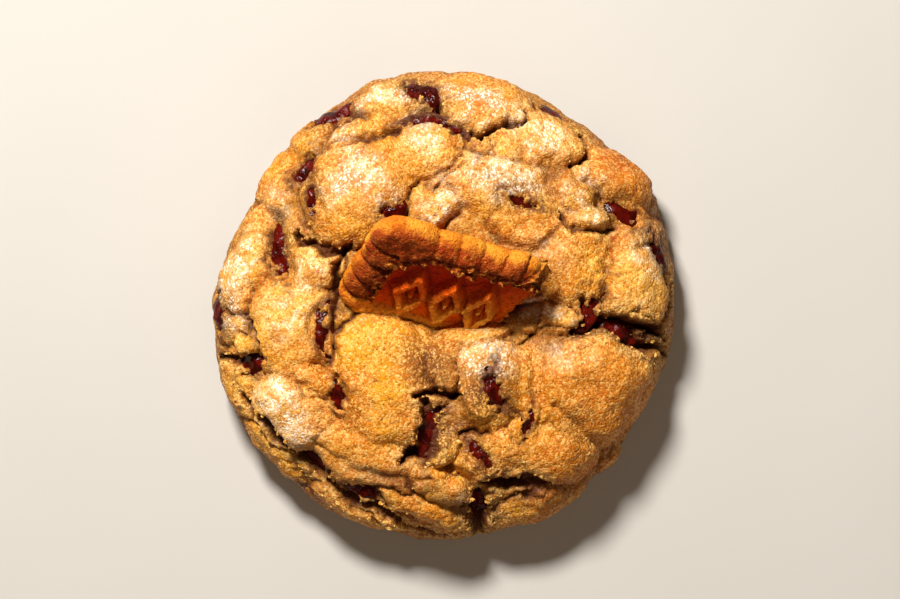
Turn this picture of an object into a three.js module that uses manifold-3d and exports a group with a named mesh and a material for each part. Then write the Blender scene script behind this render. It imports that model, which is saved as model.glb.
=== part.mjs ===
// A thick chocolate-chunk cookie with the broken half of a fluted speculoos
// biscuit pushed into its top. Millimetres, +Z up, +Y away from the eater,
// origin at the middle of the underside.
import * as THREE from 'three';
import { mergeVertices } from 'three/addons/utils/BufferGeometryUtils.js';
import Module from 'manifold-3d';

const wasm = await Module();
wasm.setup();

// ---- driving dimensions -------------------------------------------------

const clearance = 0.3;            // air between dough and what is baked into it

const dough = {
  radius: 45.2,                   // mean radius of the smooth dome, before lobes
  height: 21.0,                   // crown of the smooth dome
  widestAt: 5.5,                  // height of the widest ring
  shoulder: 4.0,                  // squareness of the dome, seen from above
  crown: 2.2,                     // squareness of the dome, seen from the side
  tuck: 1.6,                      // how far the foot draws in under the rim
  footShare: 0.94,                // share of the ball's half chord above the foot
  facets: 17,                     // subdivisions of the icosahedron
  blend: 0.9,                     // softness where two lobes meet
  floor: 0.2,                     // relief where no lobe reaches
  rimRelief: [38, 50, 60, 0.6, 0.5],  // arc lengths and shares that calm the rim
};

// Radius of the outline every 15 degrees, counter-clockwise from +X.
const outlineRadii = [
  46.4, 46.6, 47.8, 45.6, 45.4, 46.6, 47.0, 46.8, 45.2, 44.4, 43.2, 44.4,
  46.2, 46.4, 46.4, 46.2, 46.8, 46.4, 47.0, 46.0, 46.2, 46.0, 44.6, 46.0,
];

// Lobes of risen dough: centre x, y; half length, half width; turn in degrees;
// rise; squareness of the edge.
const lobes = {
  leftCrown: [-17.4, 22.9, 13.4, 11.2, 22, 3.8, 3.2],
  topMiddle: [-2.6, 31.4, 7.2, 7.4, 0, 3.0, 2.6],
  topLeftRim: [-9.8, 41.2, 9.4, 5.2, 12, 2.8, 3],
  topLeftFold: [-16.4, 35.0, 8.4, 4.0, 28, 1.9, 2.4],
  topRight: [8.8, 40.4, 11.4, 7.6, -14, 3.4, 3.2],
  topNub: [7.6, 31.7, 3.8, 2.4, -15, 2.9, 2.4],
  rightUpper: [20.4, 33.2, 9.2, 6.6, -28, 3.3, 3],
  rightUpperFold: [13.2, 32.4, 6.0, 5.0, 0, 2.2, 2.4],
  sandyTop: [9.4, 24.4, 14.0, 7.0, -8, 2.8, 2.4],
  behindBiscuit: [-1.4, 20.0, 6.4, 4.4, 25, 2.6, 2.6],
  besideBiscuit: [17.6, 17.2, 9.6, 7.6, -30, 2.5, 2.4],
  brownShoulder: [35.6, 25.6, 7.2, 9.0, 30, 3.4, 3],
  knobTop: [28.2, 27.1, 3.0, 2.4, 20, 2.6, 2.4],
  knobMiddle: [26.2, 22.4, 3.9, 5.0, 25, 2.8, 2.6],
  knobLow: [29.6, 16.9, 3.3, 4.0, 30, 3.2, 2.6],
  rightFlank: [38.8, 3.9, 7.8, 10.2, 8, 3.7, 3.2],
  rightFlankTop: [38.6, 13.3, 6.4, 4.8, -20, 2.5, 2.6],
  rightOfBiscuit: [25.4, 9.4, 8.4, 10.6, 20, 3.0, 2.4],
  rightBand: [19.6, -2.7, 9.4, 3.3, -3, 2.5, 2.6],
  lowerRight: [30.4, -17.3, 14.4, 12.2, -10, 3.8, 3.2],
  lowerRightFold: [18.2, -16.5, 6.0, 9.6, 8, 2.3, 2.4],
  middleLow: [9.6, -15.4, 7.8, 10.6, 6, 3.3, 2.8],
  bottomMiddle: [14.6, -28.6, 8.2, 6.8, -10, 2.6, 2.4],
  smoothCentre: [-10.9, -15.3, 12.8, 15.0, 6, 3.8, 3.2],
  smoothCentreFlap: [-1.4, -12.9, 5.4, 6.6, 0, 3.2, 2.8],
  leftFlank: [-30.2, -4.2, 8.8, 12.4, 5, 3.3, 2.6],
  leftFlankTop: [-25.8, 7.4, 6.4, 5.6, 0, 2.8, 2.4],
  leftRim: [-40.4, 6.3, 6.2, 11.4, -18, 2.9, 2.8],
  leftNub: [-37.6, -8.2, 4.4, 2.6, -12, 2.9, 2.4],
  leftRimLow: [-41.2, -16.4, 6.0, 8.0, 20, 2.3, 2.6],
  leftRimMiddle: [-42.4, -3.6, 4.4, 5.4, 0, 2.2, 2.4],
  lowerLeft: [-30.4, -21.5, 9.6, 8.2, -35, 3.5, 3],
  lowerLeftRidge: [-25.4, -14.6, 6.4, 3.4, -35, 3.1, 2.6],
  bottomBand: [-15.4, -30.6, 14.6, 6.4, -20, 2.9, 2.6],
  bottomFold: [-1.6, -35.6, 9.0, 3.6, -25, 2.8, 2.6],
  bottomFoldLow: [-4.6, -40.2, 12.4, 3.2, -26, 2.5, 2.6],
  bottomLedge: [-16.6, -41.6, 12.0, 4.2, -26, 1.9, 2.6],
  bottomLeftLedge: [-34.4, -28.8, 10.2, 3.6, -48, 1.8, 2.6],
  bottomRight: [23.2, -29.9, 11.0, 7.2, 8, 2.9, 2.6],
  bottomRightRim: [19.2, -40.3, 12.4, 5.2, 18, 2.6, 2.8],
  bottomRightNub: [33.6, -31.1, 4.4, 4.0, 30, 1.9, 2.4],
  craterKnob: [-1.0, -28.9, 4.4, 3.8, 0, 2.9, 2.6],
  craterKnobLow: [5.8, -32.9, 5.0, 3.4, -45, 3.0, 2.6],
  underBiscuit: [6.4, -5.4, 9.0, 2.8, 12, 2.7, 2.6],
  leftTopRim: [-27.2, 33.3, 6.8, 5.6, 40, 2.5, 2.6],
  leftUpperRim: [-33.2, 24.4, 6.6, 7.8, -20, 2.7, 2.6],
  leftGapRim: [-36.8, 16.6, 4.8, 5.4, 0, 2.1, 2.6],
};

// Cracks between lobes: start x, y; end x, y; bow of the middle to the left of
// that line; half width; depth.
const cracks = {
  underLeftCrown: [-29.2, 14.9, -18.6, 12.1, -2.6, 1.0, 2.4],
  leftOfBiscuit: [-20.4, 11.4, -18.4, -0.2, -2.4, 1.0, 2.4],
  underTopRight: [4.2, 33.9, 16.4, 38.1, -2.0, 0.9, 2.4],
  besideShoulder: [28.2, 34.2, 24.6, 27.5, 2.2, 0.9, 1.8],
  underKnobs: [22.8, 19.5, 33.4, 15.7, -3.8, 0.9, 1.4],
  rightFissure: [26.0, -4.9, 44.4, -6.6, 2.4, 1.3, 4.6],
  rightFissureLow: [34.4, -5.5, 46.4, -9.9, -0.8, 1.2, 4.2],
  middleSeam: [14.2, -5.3, 17.2, -24.5, 3.0, 0.8, 1.5],
  crater: [-3.6, -19.2, -8.6, -30.7, 3.6, 1.6, 3.8],
  craterTop: [3.4, -17.9, -5.6, -18.7, -1.6, 1.0, 2.6],
  craterTail: [1.6, -31.9, 8.4, -38.9, 0.6, 1.2, 3.0],
  bottomNotch: [7.6, -37.4, 7.6, -47.0, -0.8, 1.9, 6.0],
  bottomGroove: [8.4, -34.6, 21.4, -34.8, -0.4, 1.6, 2.6],
  lowerLeftFold: [-39.4, -17.5, 4.4, -46.3, -3.8, 1.2, 3.2],
  bottomBandFold: [-24.6, -27.7, -2.6, -34.5, -1.8, 0.9, 1.2],
  leftRimCrack: [-45.2, -9.7, -36.0, -10.3, -0.9, 1.0, 2.5],
  rightRimGroove: [45.8, 4.1, 42.8, -6.1, 1.0, 1.0, 2.5],
  topCrack: [-9.2, 44.4, -0.8, 38.9, 1.2, 1.2, 2.6],
  topArc: [-8.8, 36.1, 4.6, 32.9, 3.2, 1.0, 2.0],
  lowerRightCrease: [21.4, -19.5, 36.4, -28.1, -1.6, 1.0, 2.0],
  sandyTopPit: [11.2, 23.3, 19.6, 20.3, -0.6, 0.9, 1.8],
  shoulderGroove: [30.4, 20.3, 44.4, 17.3, -0.8, 1.5, 2.6],
  leftGap: [-35.2, 18.3, -31.2, 5.3, 1.2, 1.9, 2.9],
  leftCrescent: [-21.4, 1.5, -21.4, -10.3, -4.0, 1.0, 2.0],
  lowerLeftSlot: [-25.8, -11.1, -20.4, -21.4, 2.2, 1.0, 2.4],
  rightSlot: [27.0, 2.0, 31.6, -4.4, -0.6, 1.2, 2.2],
  underBiscuitSeam: [-6.6, -3.6, 7.4, -7.1, -1.6, 0.9, 1.5],
  leftCrownEdge: [-31.2, 31.4, -24.2, 19.4, 1.2, 1.2, 1.8],
};

// Chocolate chunks: centre x, y; half length, half width, half depth; turn in
// degrees; bend of the ends, in mm; height of the top over the mean of the dough there.
const chunks = [
  [-33.4, 11.4, 6.6, 2.3, 2.2, -76, 0.0, 0.5],
  [-23.5, -4.5, 5.9, 1.5, 2.0, 90, -1.6, 1.2],
  [-21.6, -17.6, 3.8, 1.5, 2.0, -68, 0.0, 1.0],
  [-37.6, -11.6, 3.0, 2.2, 2.0, 20, 0.0, 1.0],
  [-44.0, -1.2, 4.2, 1.6, 1.8, 95, 0.0, 0.7],
  [-22.6, 37.7, 5.2, 2.0, 2.0, 22, 0.6, 0.7],
  [-27.6, 26.8, 4.4, 1.9, 2.0, 52, 0.0, 0.5],
  [-25.6, 20.6, 2.8, 1.5, 1.8, 80, 0.0, 0.6],
  [-36.6, 22.8, 2.6, 1.6, 1.8, 60, 0.0, 0.8],
  [-4.6, 42.6, 5.0, 2.4, 2.2, -33, 0.0, 0.7],
  [-1.8, 36.2, 7.0, 1.3, 1.8, -12, -1.8, 0.7],
  [-9.8, 18.6, 2.6, 1.6, 2.0, 10, 0.0, 0.7],
  [22.0, 38.0, 3.4, 2.0, 2.0, -48, 0.0, 0.8],
  [15.4, 21.7, 4.0, 1.4, 1.8, -20, 0.0, 1.2],
  [37.0, 18.4, 5.2, 2.0, 2.0, -12, 0.0, 1.0],
  [42.4, 10.0, 4.2, 2.0, 1.8, -60, 0.0, 0.7],
  [29.8, -0.8, 5.6, 1.6, 2.0, 60, 0.0, 0.9],
  [36.6, -5.4, 5.6, 1.6, 2.0, -22, 0.0, 0.9],
  [8.6, -17.0, 4.8, 3.4, 2.2, 66, 0.0, 1.0],
  [16.9, -23.4, 3.6, 1.2, 1.8, 66, 0.0, 0.6],
  [-2.6, -24.4, 5.8, 2.2, 2.2, 78, -1.2, 0.9],
  [8.6, -30.0, 3.6, 1.9, 2.0, -48, 0.0, 0.9],
  [7.2, -41.4, 4.2, 2.2, 2.2, -64, 0.0, 0.8],
  [-25.4, -31.2, 3.6, 1.3, 1.8, -32, 0.0, 0.7],
  [-16.4, -37.0, 3.8, 1.3, 1.8, -30, 0.0, 0.7],
];

// The dent that the biscuit pressed into the dough: centre x, y; half length,
// half width; turn in degrees; depth.
const seat = [0.6, 4.2, 21.0, 9.0, -14, 3.0];

const biscuit = {
  width: 28.2,                    // short side of the whole biscuit
  topLength: 37.0,                // along the raised long edge, to the break
  lowLength: 30.5,                // along the sunken long edge, to the break
  thickness: 6.0,
  corner: 5.0,                    // radius of the two whole corners
  rib: 4.7,                       // pitch of the flutes
  ribDepth: 0.9,                  // how far a flute stands out of the edge
  topValleys: [-6.6, -1.9, 3.0, 7.7, 12.0],   // x of the valleys on the raised edge
  endValleys: [7.6, 2.2, -3.4, -8.6, -13.6],        // y of the valleys on the whole end
  valleyCut: 1.2,                 // side of the square groove that runs on over the border
  bulge: [-12.8, 6.4, 1.3],       // x, half length and height of the wide flute on the corner
  tipDrop: 0.8,                   // how far the last flute before the break lies back
  edgeRound: 0.7,                 // rounding between the faces and the fluted edge
  border: 5.6,                    // width of the raised border
  lowBorder: 3.4,                 // and along the sunken long edge
  innerCorner: 8.4,               // radius of the panel's corner
  panelDepth: 1.7,                // how far the panel lies under the border
  breakSlant: 0.55,               // how far the break leans back, for each mm of thickness
  centre: [0.7, 4.4, 26.2],       // middle of the half, at mid-thickness
  lean: [-0.070, -0.815, 0.575],  // where the stamped face looks
  along: [0.940, -0.235, -0.260], // from the whole end to the break
};

const colours = {
  dough: '#e2a24a',
  biscuit: '#c2601c',
  chocolate: '#4a120c',
};

// ---- helpers ------------------------------------------------------------

const radians = (degrees) => degrees * Math.PI / 180;

function interpolate(x, xs, ys) {
  if (x <= xs[0]) return ys[0];
  for (let i = 1; i < xs.length; i += 1) {
    if (x <= xs[i]) {
      const t = (x - xs[i - 1]) / (xs[i] - xs[i - 1]);
      return ys[i - 1] + t * (ys[i] - ys[i - 1]);
    }
  }
  return ys[ys.length - 1];
}

function toSolid(geometry) {
  const bare = geometry.clone();
  bare.deleteAttribute('normal');
  bare.deleteAttribute('uv');
  const merged = mergeVertices(bare, 1e-4);
  return new wasm.Manifold(new wasm.Mesh({
    numProp: 3,
    vertProperties: new Float32Array(merged.attributes.position.array),
    triVerts: new Uint32Array(merged.index.array),
  }));
}

function toGeometry(solid) {
  const mesh = solid.getMesh();
  const geometry = new THREE.BufferGeometry();
  geometry.setAttribute('position', new THREE.BufferAttribute(new Float32Array(mesh.vertProperties), 3));
  geometry.setIndex(new THREE.BufferAttribute(new Uint32Array(mesh.triVerts), 1));
  geometry.computeVertexNormals();
  return geometry;
}

// ---- dough: a dome with lobes and cracks --------------------------------

// The dome's section, from the crown over the rim to the foot, with the arc
// length at every step.
function domeSection() {
  const steps = 400;
  const points = [];
  for (let i = 0; i <= steps; i += 1) {
    const turn = (i / steps) * Math.PI / 2;
    const cosine = i === steps ? 0 : Math.cos(turn);
    points.push([
      dough.radius * Math.sin(turn) ** (2 / dough.shoulder),
      dough.widestAt + (dough.height - dough.widestAt) * cosine ** (2 / dough.crown),
    ]);
  }
  for (let i = 1; i <= steps / 4; i += 1) {
    const turn = (i / (steps / 4)) * Math.PI / 2;
    points.push([
      dough.radius - dough.tuck * (1 - Math.cos(turn)),
      i === steps / 4 ? 0 : dough.widestAt * (1 - Math.sin(turn)),
    ]);
  }
  const section = { radius: [], height: [], arc: [], widest: steps };
  let arc = 0;
  points.forEach(([r, z], i) => {
    if (i > 0) arc += Math.hypot(r - points[i - 1][0], z - points[i - 1][1]);
    section.radius.push(r);
    section.height.push(z);
    section.arc.push(arc);
  });
  section.footArc = arc;
  section.footRadius = dough.radius - dough.tuck;
  return section;
}

const section = domeSection();

function outlineRadius(angle) {
  const count = outlineRadii.length;
  const place = ((angle / (2 * Math.PI)) % 1 + 1) % 1 * count;
  const i = Math.floor(place) % count;
  const t = place - Math.floor(place);
  const ease = t * t * (3 - 2 * t);
  return outlineRadii[i] * (1 - ease) + outlineRadii[(i + 1) % count] * ease;
}

// Plan coordinates to the dome's own unrolled ones: same angle, arc length out.
function unroll(x, y) {
  const angle = Math.atan2(y, x);
  const reach = Math.min(Math.hypot(x, y) * dough.radius / outlineRadius(angle), dough.radius);
  const rising = section.widest + 1;
  const arc = interpolate(reach, section.radius.slice(0, rising), section.arc.slice(0, rising));
  return [arc * Math.cos(angle), arc * Math.sin(angle)];
}

// Slow waves that keep the lobes from being true ovals.
function wander(u, v) {
  const size = 0.5;
  const wavelength = 8.5;
  const seed = 0.3;
  let a = 0;
  let b = 0;
  for (let k = 0; k < 5; k += 1) {
    const turn = 2.4 * k + seed;
    const wave = 2 * Math.PI / (wavelength * (0.62 + 0.21 * k));
    a += Math.sin(wave * (u * Math.cos(turn) + v * Math.sin(turn)) + 2.3 * k + seed);
    b += Math.sin(wave * (u * Math.sin(turn + 0.6) - v * Math.cos(turn + 0.6)) + 1.7 * k + 2 * seed);
  }
  return [u + size * a / 2, v + size * b / 2];
}

function oval([x, y, halfLength, halfWidth, turn]) {
  const [u, v] = unroll(x, y);
  return { u, v, halfLength, halfWidth, cos: Math.cos(radians(turn)), sin: Math.sin(radians(turn)) };
}

// 0 in the middle of an oval, 1 on its edge.
function ovalDistance(shape, u, v) {
  const du = u - shape.u;
  const dv = v - shape.v;
  return Math.hypot((du * shape.cos + dv * shape.sin) / shape.halfLength,
    (dv * shape.cos - du * shape.sin) / shape.halfWidth);
}

const lobeShapes = Object.values(lobes).map((lobe) => ({ ...oval(lobe), rise: lobe[5], edge: lobe[6] }));
const seatShape = { ...oval(seat), depth: seat[5] };

const crackShapes = Object.values(cracks).map(([x0, y0, x1, y1, bow, width, depth]) => {
  const start = new THREE.Vector2(...unroll(x0, y0));
  const end = new THREE.Vector2(...unroll(x1, y1));
  const side = end.clone().sub(start).normalize();
  const middle = start.clone().add(end).multiplyScalar(0.5);
  middle.add(new THREE.Vector2(-side.y, side.x).multiplyScalar(2 * bow));
  const points = new THREE.QuadraticBezierCurve(start, middle, end).getPoints(8);
  return { points, width, depth };
});

function crackDistance(points, u, v) {
  const last = points.length - 1;
  let nearest = Infinity;
  for (let i = 0; i < last; i += 1) {
    const a = points[i];
    const b = points[i + 1];
    const ex = b.x - a.x;
    const ey = b.y - a.y;
    const t = THREE.MathUtils.clamp(((u - a.x) * ex + (v - a.y) * ey) / (ex * ex + ey * ey), 0, 1);
    const taper = 0.45 + 0.55 * Math.sin(Math.PI * (i + t) / last) ** 0.6;
    nearest = Math.min(nearest, Math.hypot(u - a.x - t * ex, v - a.y - t * ey) / taper);
  }
  return nearest;
}

// Height of the baked surface over the smooth dome.
function relief(u0, v0) {
  const [u, v] = wander(u0, v0);
  let height = dough.floor;
  for (const lobe of lobeShapes) {
    const own = Math.max(lobe.rise * (1 - ovalDistance(lobe, u, v) ** lobe.edge), -4);
    const apart = Math.abs(height - own);
    height = Math.max(height, own);
    if (apart < dough.blend) height += (dough.blend - apart) ** 2 / (4 * dough.blend);
  }
  for (const crack of crackShapes) {
    const d = crackDistance(crack.points, u, v);
    height -= crack.depth * Math.exp(-((d / crack.width) ** 2));
  }
  height -= seatShape.depth * Math.exp(-(ovalDistance(seatShape, u0, v0) ** 4));
  const [calm, rim, foot, rimShare, footShare] = dough.rimRelief;
  return height * interpolate(Math.hypot(u0, v0), [calm, rim, foot], [1, rimShare, footShare]);
}

// A point of the dome at unrolled u, v, lifted off the surface by height.
function onDome(u, v, lift) {
  const arc = Math.hypot(u, v);
  const angle = Math.atan2(v, u);
  const step = 0.25;
  const before = Math.max(arc - step, 0);
  const after = Math.min(arc + step, section.footArc);
  const dr = interpolate(after, section.arc, section.radius) - interpolate(before, section.arc, section.radius);
  const dz = interpolate(after, section.arc, section.height) - interpolate(before, section.arc, section.height);
  const size = Math.hypot(dr, dz);
  const stretch = outlineRadius(angle) / dough.radius;
  const r = interpolate(arc, section.arc, section.radius) * stretch - lift * dz / size;
  const z = interpolate(arc, section.arc, section.height) + lift * dr / size;
  return [r * Math.cos(angle), r * Math.sin(angle), z];
}

function doughGeometry() {
  const geometry = new THREE.IcosahedronGeometry(1, dough.facets);
  const position = geometry.attributes.position;
  const foot = dough.footShare;
  const snap = 0.011;             // vertices this near the foot's ring lie on it
  const footFade = 4;             // arc length over which lobes die out above the foot
  for (let i = 0; i < position.count; i += 1) {
    const x = position.getX(i);
    const y = position.getY(i);
    const angle = Math.atan2(y, x);
    let chord = Math.sqrt(Math.max((1 - position.getZ(i)) / 2, 0));
    if (Math.abs(chord - foot) < snap) chord = foot;
    if (chord < foot) {
      const arc = section.footArc * chord / foot;
      const u = arc * Math.cos(angle);
      const v = arc * Math.sin(angle);
      const fade = THREE.MathUtils.clamp((section.footArc - arc) / footFade, 0, 1);
      const [px, py, pz] = onDome(u, v, relief(u, v) * fade);
      position.setXYZ(i, px, py, Math.max(pz, 0));
    } else {
      const share = Math.sqrt((1 - chord * chord) / (1 - foot * foot));
      const r = section.footRadius * outlineRadius(angle) / dough.radius * share;
      position.setXYZ(i, r * Math.cos(angle), r * Math.sin(angle), 0);
    }
  }
  return geometry;
}

// ---- chocolate chunks ---------------------------------------------------

function chunkGeometry([x, y, halfLength, halfWidth, halfDepth, turn, bend, proud], swell) {
  const [cu, cv] = unroll(x, y);
  const cos = Math.cos(radians(turn));
  const sin = Math.sin(radians(turn));
  const shares = [-0.7, -0.35, 0, 0.35, 0.7];
  const heights = shares.flatMap((i) => shares.map((j) => relief(
    cu + i * halfLength * cos - j * halfWidth * sin,
    cv + i * halfLength * sin + j * halfWidth * cos,
  )));
  const top = heights.reduce((sum, height) => sum + height, 0) / heights.length + proud;
  const geometry = new THREE.IcosahedronGeometry(1, 1);
  const position = geometry.attributes.position;
  for (let i = 0; i < position.count; i += 1) {
    const a = position.getX(i);
    const b = position.getY(i);
    const c = position.getZ(i);
    const uneven = 1 + 0.10 * Math.sin(3.1 * a + 2.3 * b + x) * Math.cos(2.7 * c - 1.9 * b + y);
    const along = a * (halfLength * uneven + swell);
    const across = b * (halfWidth * uneven + swell) + bend * (a * a - 0.35);
    const [px, py, pz] = onDome(
      cu + along * cos - across * sin,
      cv + along * sin + across * cos,
      top - halfDepth + c * (halfDepth + swell),
    );
    position.setXYZ(i, px, py, pz);
  }
  return geometry;
}

// ---- biscuit half -------------------------------------------------------

const across = new THREE.Vector3(...biscuit.lean)
  .cross(new THREE.Vector3(...biscuit.along)).normalize();
const along = across.clone().cross(new THREE.Vector3(...biscuit.lean)).normalize();
const face = new THREE.Vector3(...biscuit.lean).normalize();

// The biscuit's own frame: x from the whole end to the break, y from the sunken
// long edge up to the raised one, z out of the stamped face.
const biscuitFrame = new THREE.Matrix4().makeBasis(along, across, face)
  .setPosition(...biscuit.centre);

const leftEnd = -biscuit.topLength / 2;

// How far the outline stands out at a place of the plain edge: round flutes with
// sharp valleys, a wide one on the raised corner, and a lower one at the break.
function flute(x, y) {
  const half = biscuit.width / 2;
  const onEnd = x - leftEnd < half - Math.abs(y) && y < half - biscuit.corner + 0.4;
  const nearest = (place, valleys) => Math.min(...valleys.map((valley) => Math.abs(place - valley)));
  let toValley = Math.abs(((x - leftEnd) / biscuit.rib) % 1 - 0.5) * biscuit.rib;
  if (y > 0) toValley = nearest(x, biscuit.topValleys);
  if (onEnd) toValley = nearest(y, biscuit.endValleys);
  const share = 1 - Math.min(toValley / (biscuit.rib / 2), 1);
  let out = biscuit.ribDepth * Math.sqrt(1 - share * share);
  const [bulgeX, bulgeLength, bulgeHeight] = biscuit.bulge;
  if (y > 6) out += bulgeHeight * Math.sqrt(Math.max(1 - ((x - bulgeX) / bulgeLength) ** 2, 0));
  if (y > 0) out -= biscuit.tipDrop * THREE.MathUtils.smoothstep(x, biscuit.topValleys.at(-1), leftEnd + biscuit.topLength);
  return out;
}

// Outline of the half: two long edges, a whole end with round corners, and the
// ragged break. inset moves the three whole sides inwards; fluted adds the flutes.
function biscuitShape(inset, fluted) {
  const facetsPerRib = 5;
  const half = biscuit.width / 2 - inset;
  const radius = Math.max(biscuit.corner - inset, 1);
  const left = leftEnd + inset;
  const points = [];
  const sides = [
    { x0: leftEnd + biscuit.topLength, y0: half, x1: left + radius, y1: half, nx: 0, ny: 1 },
    { x0: left, y0: half - radius, x1: left, y1: -half + radius, nx: -1, ny: 0 },
    { x0: left + radius, y0: -half, x1: leftEnd + biscuit.lowLength, y1: -half, nx: 0, ny: -1 },
  ];
  const corners = [[left + radius, half - radius, 90], [left + radius, -half + radius, 180]];
  const perRib = fluted ? facetsPerRib : 1;
  const standOut = (x, y) => (fluted ? flute(x, y) : 0);
  sides.forEach((edge, index) => {
    const length = Math.hypot(edge.x1 - edge.x0, edge.y1 - edge.y0);
    const steps = Math.max(2, Math.round(length / biscuit.rib * perRib));
    for (let i = 0; i < steps; i += 1) {
      const t = i / steps;
      const x = edge.x0 + t * (edge.x1 - edge.x0);
      const y = edge.y0 + t * (edge.y1 - edge.y0);
      const out = standOut(x, y);
      points.push(new THREE.Vector2(x + edge.nx * out, y + edge.ny * out));
    }
    if (index < corners.length) {
      const [cx, cy, start] = corners[index];
      const arcLength = radius * Math.PI / 2;
      const arcSteps = Math.max(3, Math.round(arcLength / biscuit.rib * perRib));
      for (let i = 0; i < arcSteps; i += 1) {
        const t = i / arcSteps;
        const turn = radians(start + 90 * t);
        const out = radius + standOut(cx + radius * Math.cos(turn), cy + radius * Math.sin(turn));
        points.push(new THREE.Vector2(cx + out * Math.cos(turn), cy + out * Math.sin(turn)));
      }
    }
  });
  // the break, from the sunken edge up to the raised one
  const breakSteps = 9;
  for (let i = 0; i < breakSteps; i += 1) {
    const t = i / breakSteps;
    const ragged = 0.55 * Math.sin(7.3 * t + 1.0) + 0.45 * Math.sin(17.0 * t);
    points.push(new THREE.Vector2(
      leftEnd + biscuit.lowLength + t * (biscuit.topLength - biscuit.lowLength) + ragged * Math.sin(Math.PI * t),
      -half + t * 2 * half,
    ));
  }
  return new THREE.Shape(points);
}

function slab(shape, low, high, bevel) {
  const geometry = new THREE.ExtrudeGeometry(shape, {
    depth: high - low - 2 * bevel,
    bevelEnabled: bevel > 0,
    bevelThickness: bevel,
    bevelSize: bevel,
    bevelOffset: -bevel,
    bevelSegments: 2,
  });
  geometry.translate(0, 0, low + bevel);
  return geometry;
}

// Leans the broken side back, so that the stamped face ends before the back does.
function slantBreak(geometry) {
  const position = geometry.attributes.position;
  for (let i = 0; i < position.count; i += 1) {
    const x = position.getX(i);
    const share = THREE.MathUtils.clamp((x - leftEnd) / biscuit.topLength, 0, 1);
    position.setX(i, x - biscuit.breakSlant * position.getZ(i) * share ** 4);
  }
}

// Floor of the sunken panel: open at the break, with a round corner at the whole end.
function panelShape() {
  const half = biscuit.width / 2;
  const left = leftEnd + biscuit.border + 0.6;
  const right = -leftEnd + 5;     // well past the break
  const top = half - biscuit.border;
  const radius = biscuit.innerCorner;
  const shape = new THREE.Shape();
  shape.moveTo(left, -half + biscuit.lowBorder);
  shape.lineTo(right, -half + biscuit.lowBorder);
  shape.lineTo(right, top);
  shape.lineTo(left + radius, top);
  shape.absarc(left + radius, top - radius, radius, Math.PI / 2, Math.PI, false);
  return shape;
}

// The valleys run on over the border as grooves with a square section on its edge.
function valleyGrooves() {
  const half = biscuit.width / 2;
  const length = biscuit.border + 3;
  const size = biscuit.valleyCut;
  const top = biscuit.thickness / 2;
  const grooves = [];
  for (const x of biscuit.topValleys) {
    const groove = new THREE.BoxGeometry(size, length, size);
    groove.rotateY(Math.PI / 4).translate(x, half + 2 - length / 2, top);
    grooves.push(toSolid(groove));
  }
  for (const y of biscuit.endValleys) {
    const groove = new THREE.BoxGeometry(length, size, size);
    groove.rotateX(Math.PI / 4).translate(leftEnd - 2 + length / 2, y, top);
    grooves.push(toSolid(groove));
  }
  return grooves;
}

function biscuitSolid() {
  const half = biscuit.thickness / 2;
  const plateGeometry = slab(biscuitShape(0, true), -half, half, biscuit.edgeRound);
  slantBreak(plateGeometry);
  const panel = toSolid(slab(panelShape(), half - biscuit.panelDepth, half + 1, 0));
  return [panel, ...valleyGrooves()].reduce((rest, cut) => rest.subtract(cut), toSolid(plateGeometry));
}

// A plain, slightly larger plate: the hollow that the half sits in.
function hollowSolid(swell) {
  const half = biscuit.thickness / 2 + swell;
  const plate = slab(biscuitShape(-biscuit.ribDepth - swell, false), -half, half, 0);
  slantBreak(plate);
  const pastBreak = plate.clone().translate(3 * swell, 0, 0);
  return toSolid(plate).add(toSolid(pastBreak));
}

// ---- the pieces ---------------------------------------------------------

function named(name, geometry, colour, roughness) {
  const material = new THREE.MeshStandardMaterial({ color: colour, roughness, metalness: 0 });
  const mesh = new THREE.Mesh(geometry, material);
  mesh.name = name;
  return mesh;
}

const cookie = new THREE.Group();

const biscuitHalf = biscuitSolid().transform(biscuitFrame.toArray());
const hollow = hollowSolid(clearance).transform(biscuitFrame.toArray());
let doughSolid = toSolid(doughGeometry()).subtract(hollow);

chunks.forEach((chunk, index) => {
  const name = `chocolate_${String(index + 1).padStart(2, '0')}`;
  const room = toSolid(chunkGeometry(chunk, clearance));
  doughSolid = doughSolid.subtract(room);
  cookie.add(named(name, toGeometry(toSolid(chunkGeometry(chunk, 0))), colours.chocolate, 0.35));
});

cookie.add(named('cookie', toGeometry(doughSolid), colours.dough, 0.6));
cookie.add(named('biscuit_piece', toGeometry(biscuitHalf), colours.biscuit, 0.7));

// the origin is the middle of the underside's box
const reach = new THREE.Box3().setFromObject(cookie);
cookie.position.set(-(reach.min.x + reach.max.x) / 2, -(reach.min.y + reach.max.y) / 2, 0);

export default cookie;
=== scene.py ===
import math

import bmesh
import bpy
import numpy as np
from mathutils import Matrix, Vector, noise


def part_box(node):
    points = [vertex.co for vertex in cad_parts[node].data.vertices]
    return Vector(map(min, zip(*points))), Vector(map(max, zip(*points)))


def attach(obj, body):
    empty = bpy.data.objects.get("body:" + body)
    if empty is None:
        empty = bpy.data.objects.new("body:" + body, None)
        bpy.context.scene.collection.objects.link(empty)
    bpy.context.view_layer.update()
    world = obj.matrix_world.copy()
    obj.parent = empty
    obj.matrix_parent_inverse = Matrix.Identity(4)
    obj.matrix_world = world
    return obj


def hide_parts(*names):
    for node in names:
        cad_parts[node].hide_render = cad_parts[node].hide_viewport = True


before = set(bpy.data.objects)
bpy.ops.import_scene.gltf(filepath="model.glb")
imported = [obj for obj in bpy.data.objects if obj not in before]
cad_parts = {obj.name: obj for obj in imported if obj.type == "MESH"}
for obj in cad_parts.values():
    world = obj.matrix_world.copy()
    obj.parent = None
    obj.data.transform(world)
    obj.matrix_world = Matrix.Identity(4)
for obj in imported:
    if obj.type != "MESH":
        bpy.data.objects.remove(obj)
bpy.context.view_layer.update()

mm = 0.001
cookieLow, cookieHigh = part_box("cookie")
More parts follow.
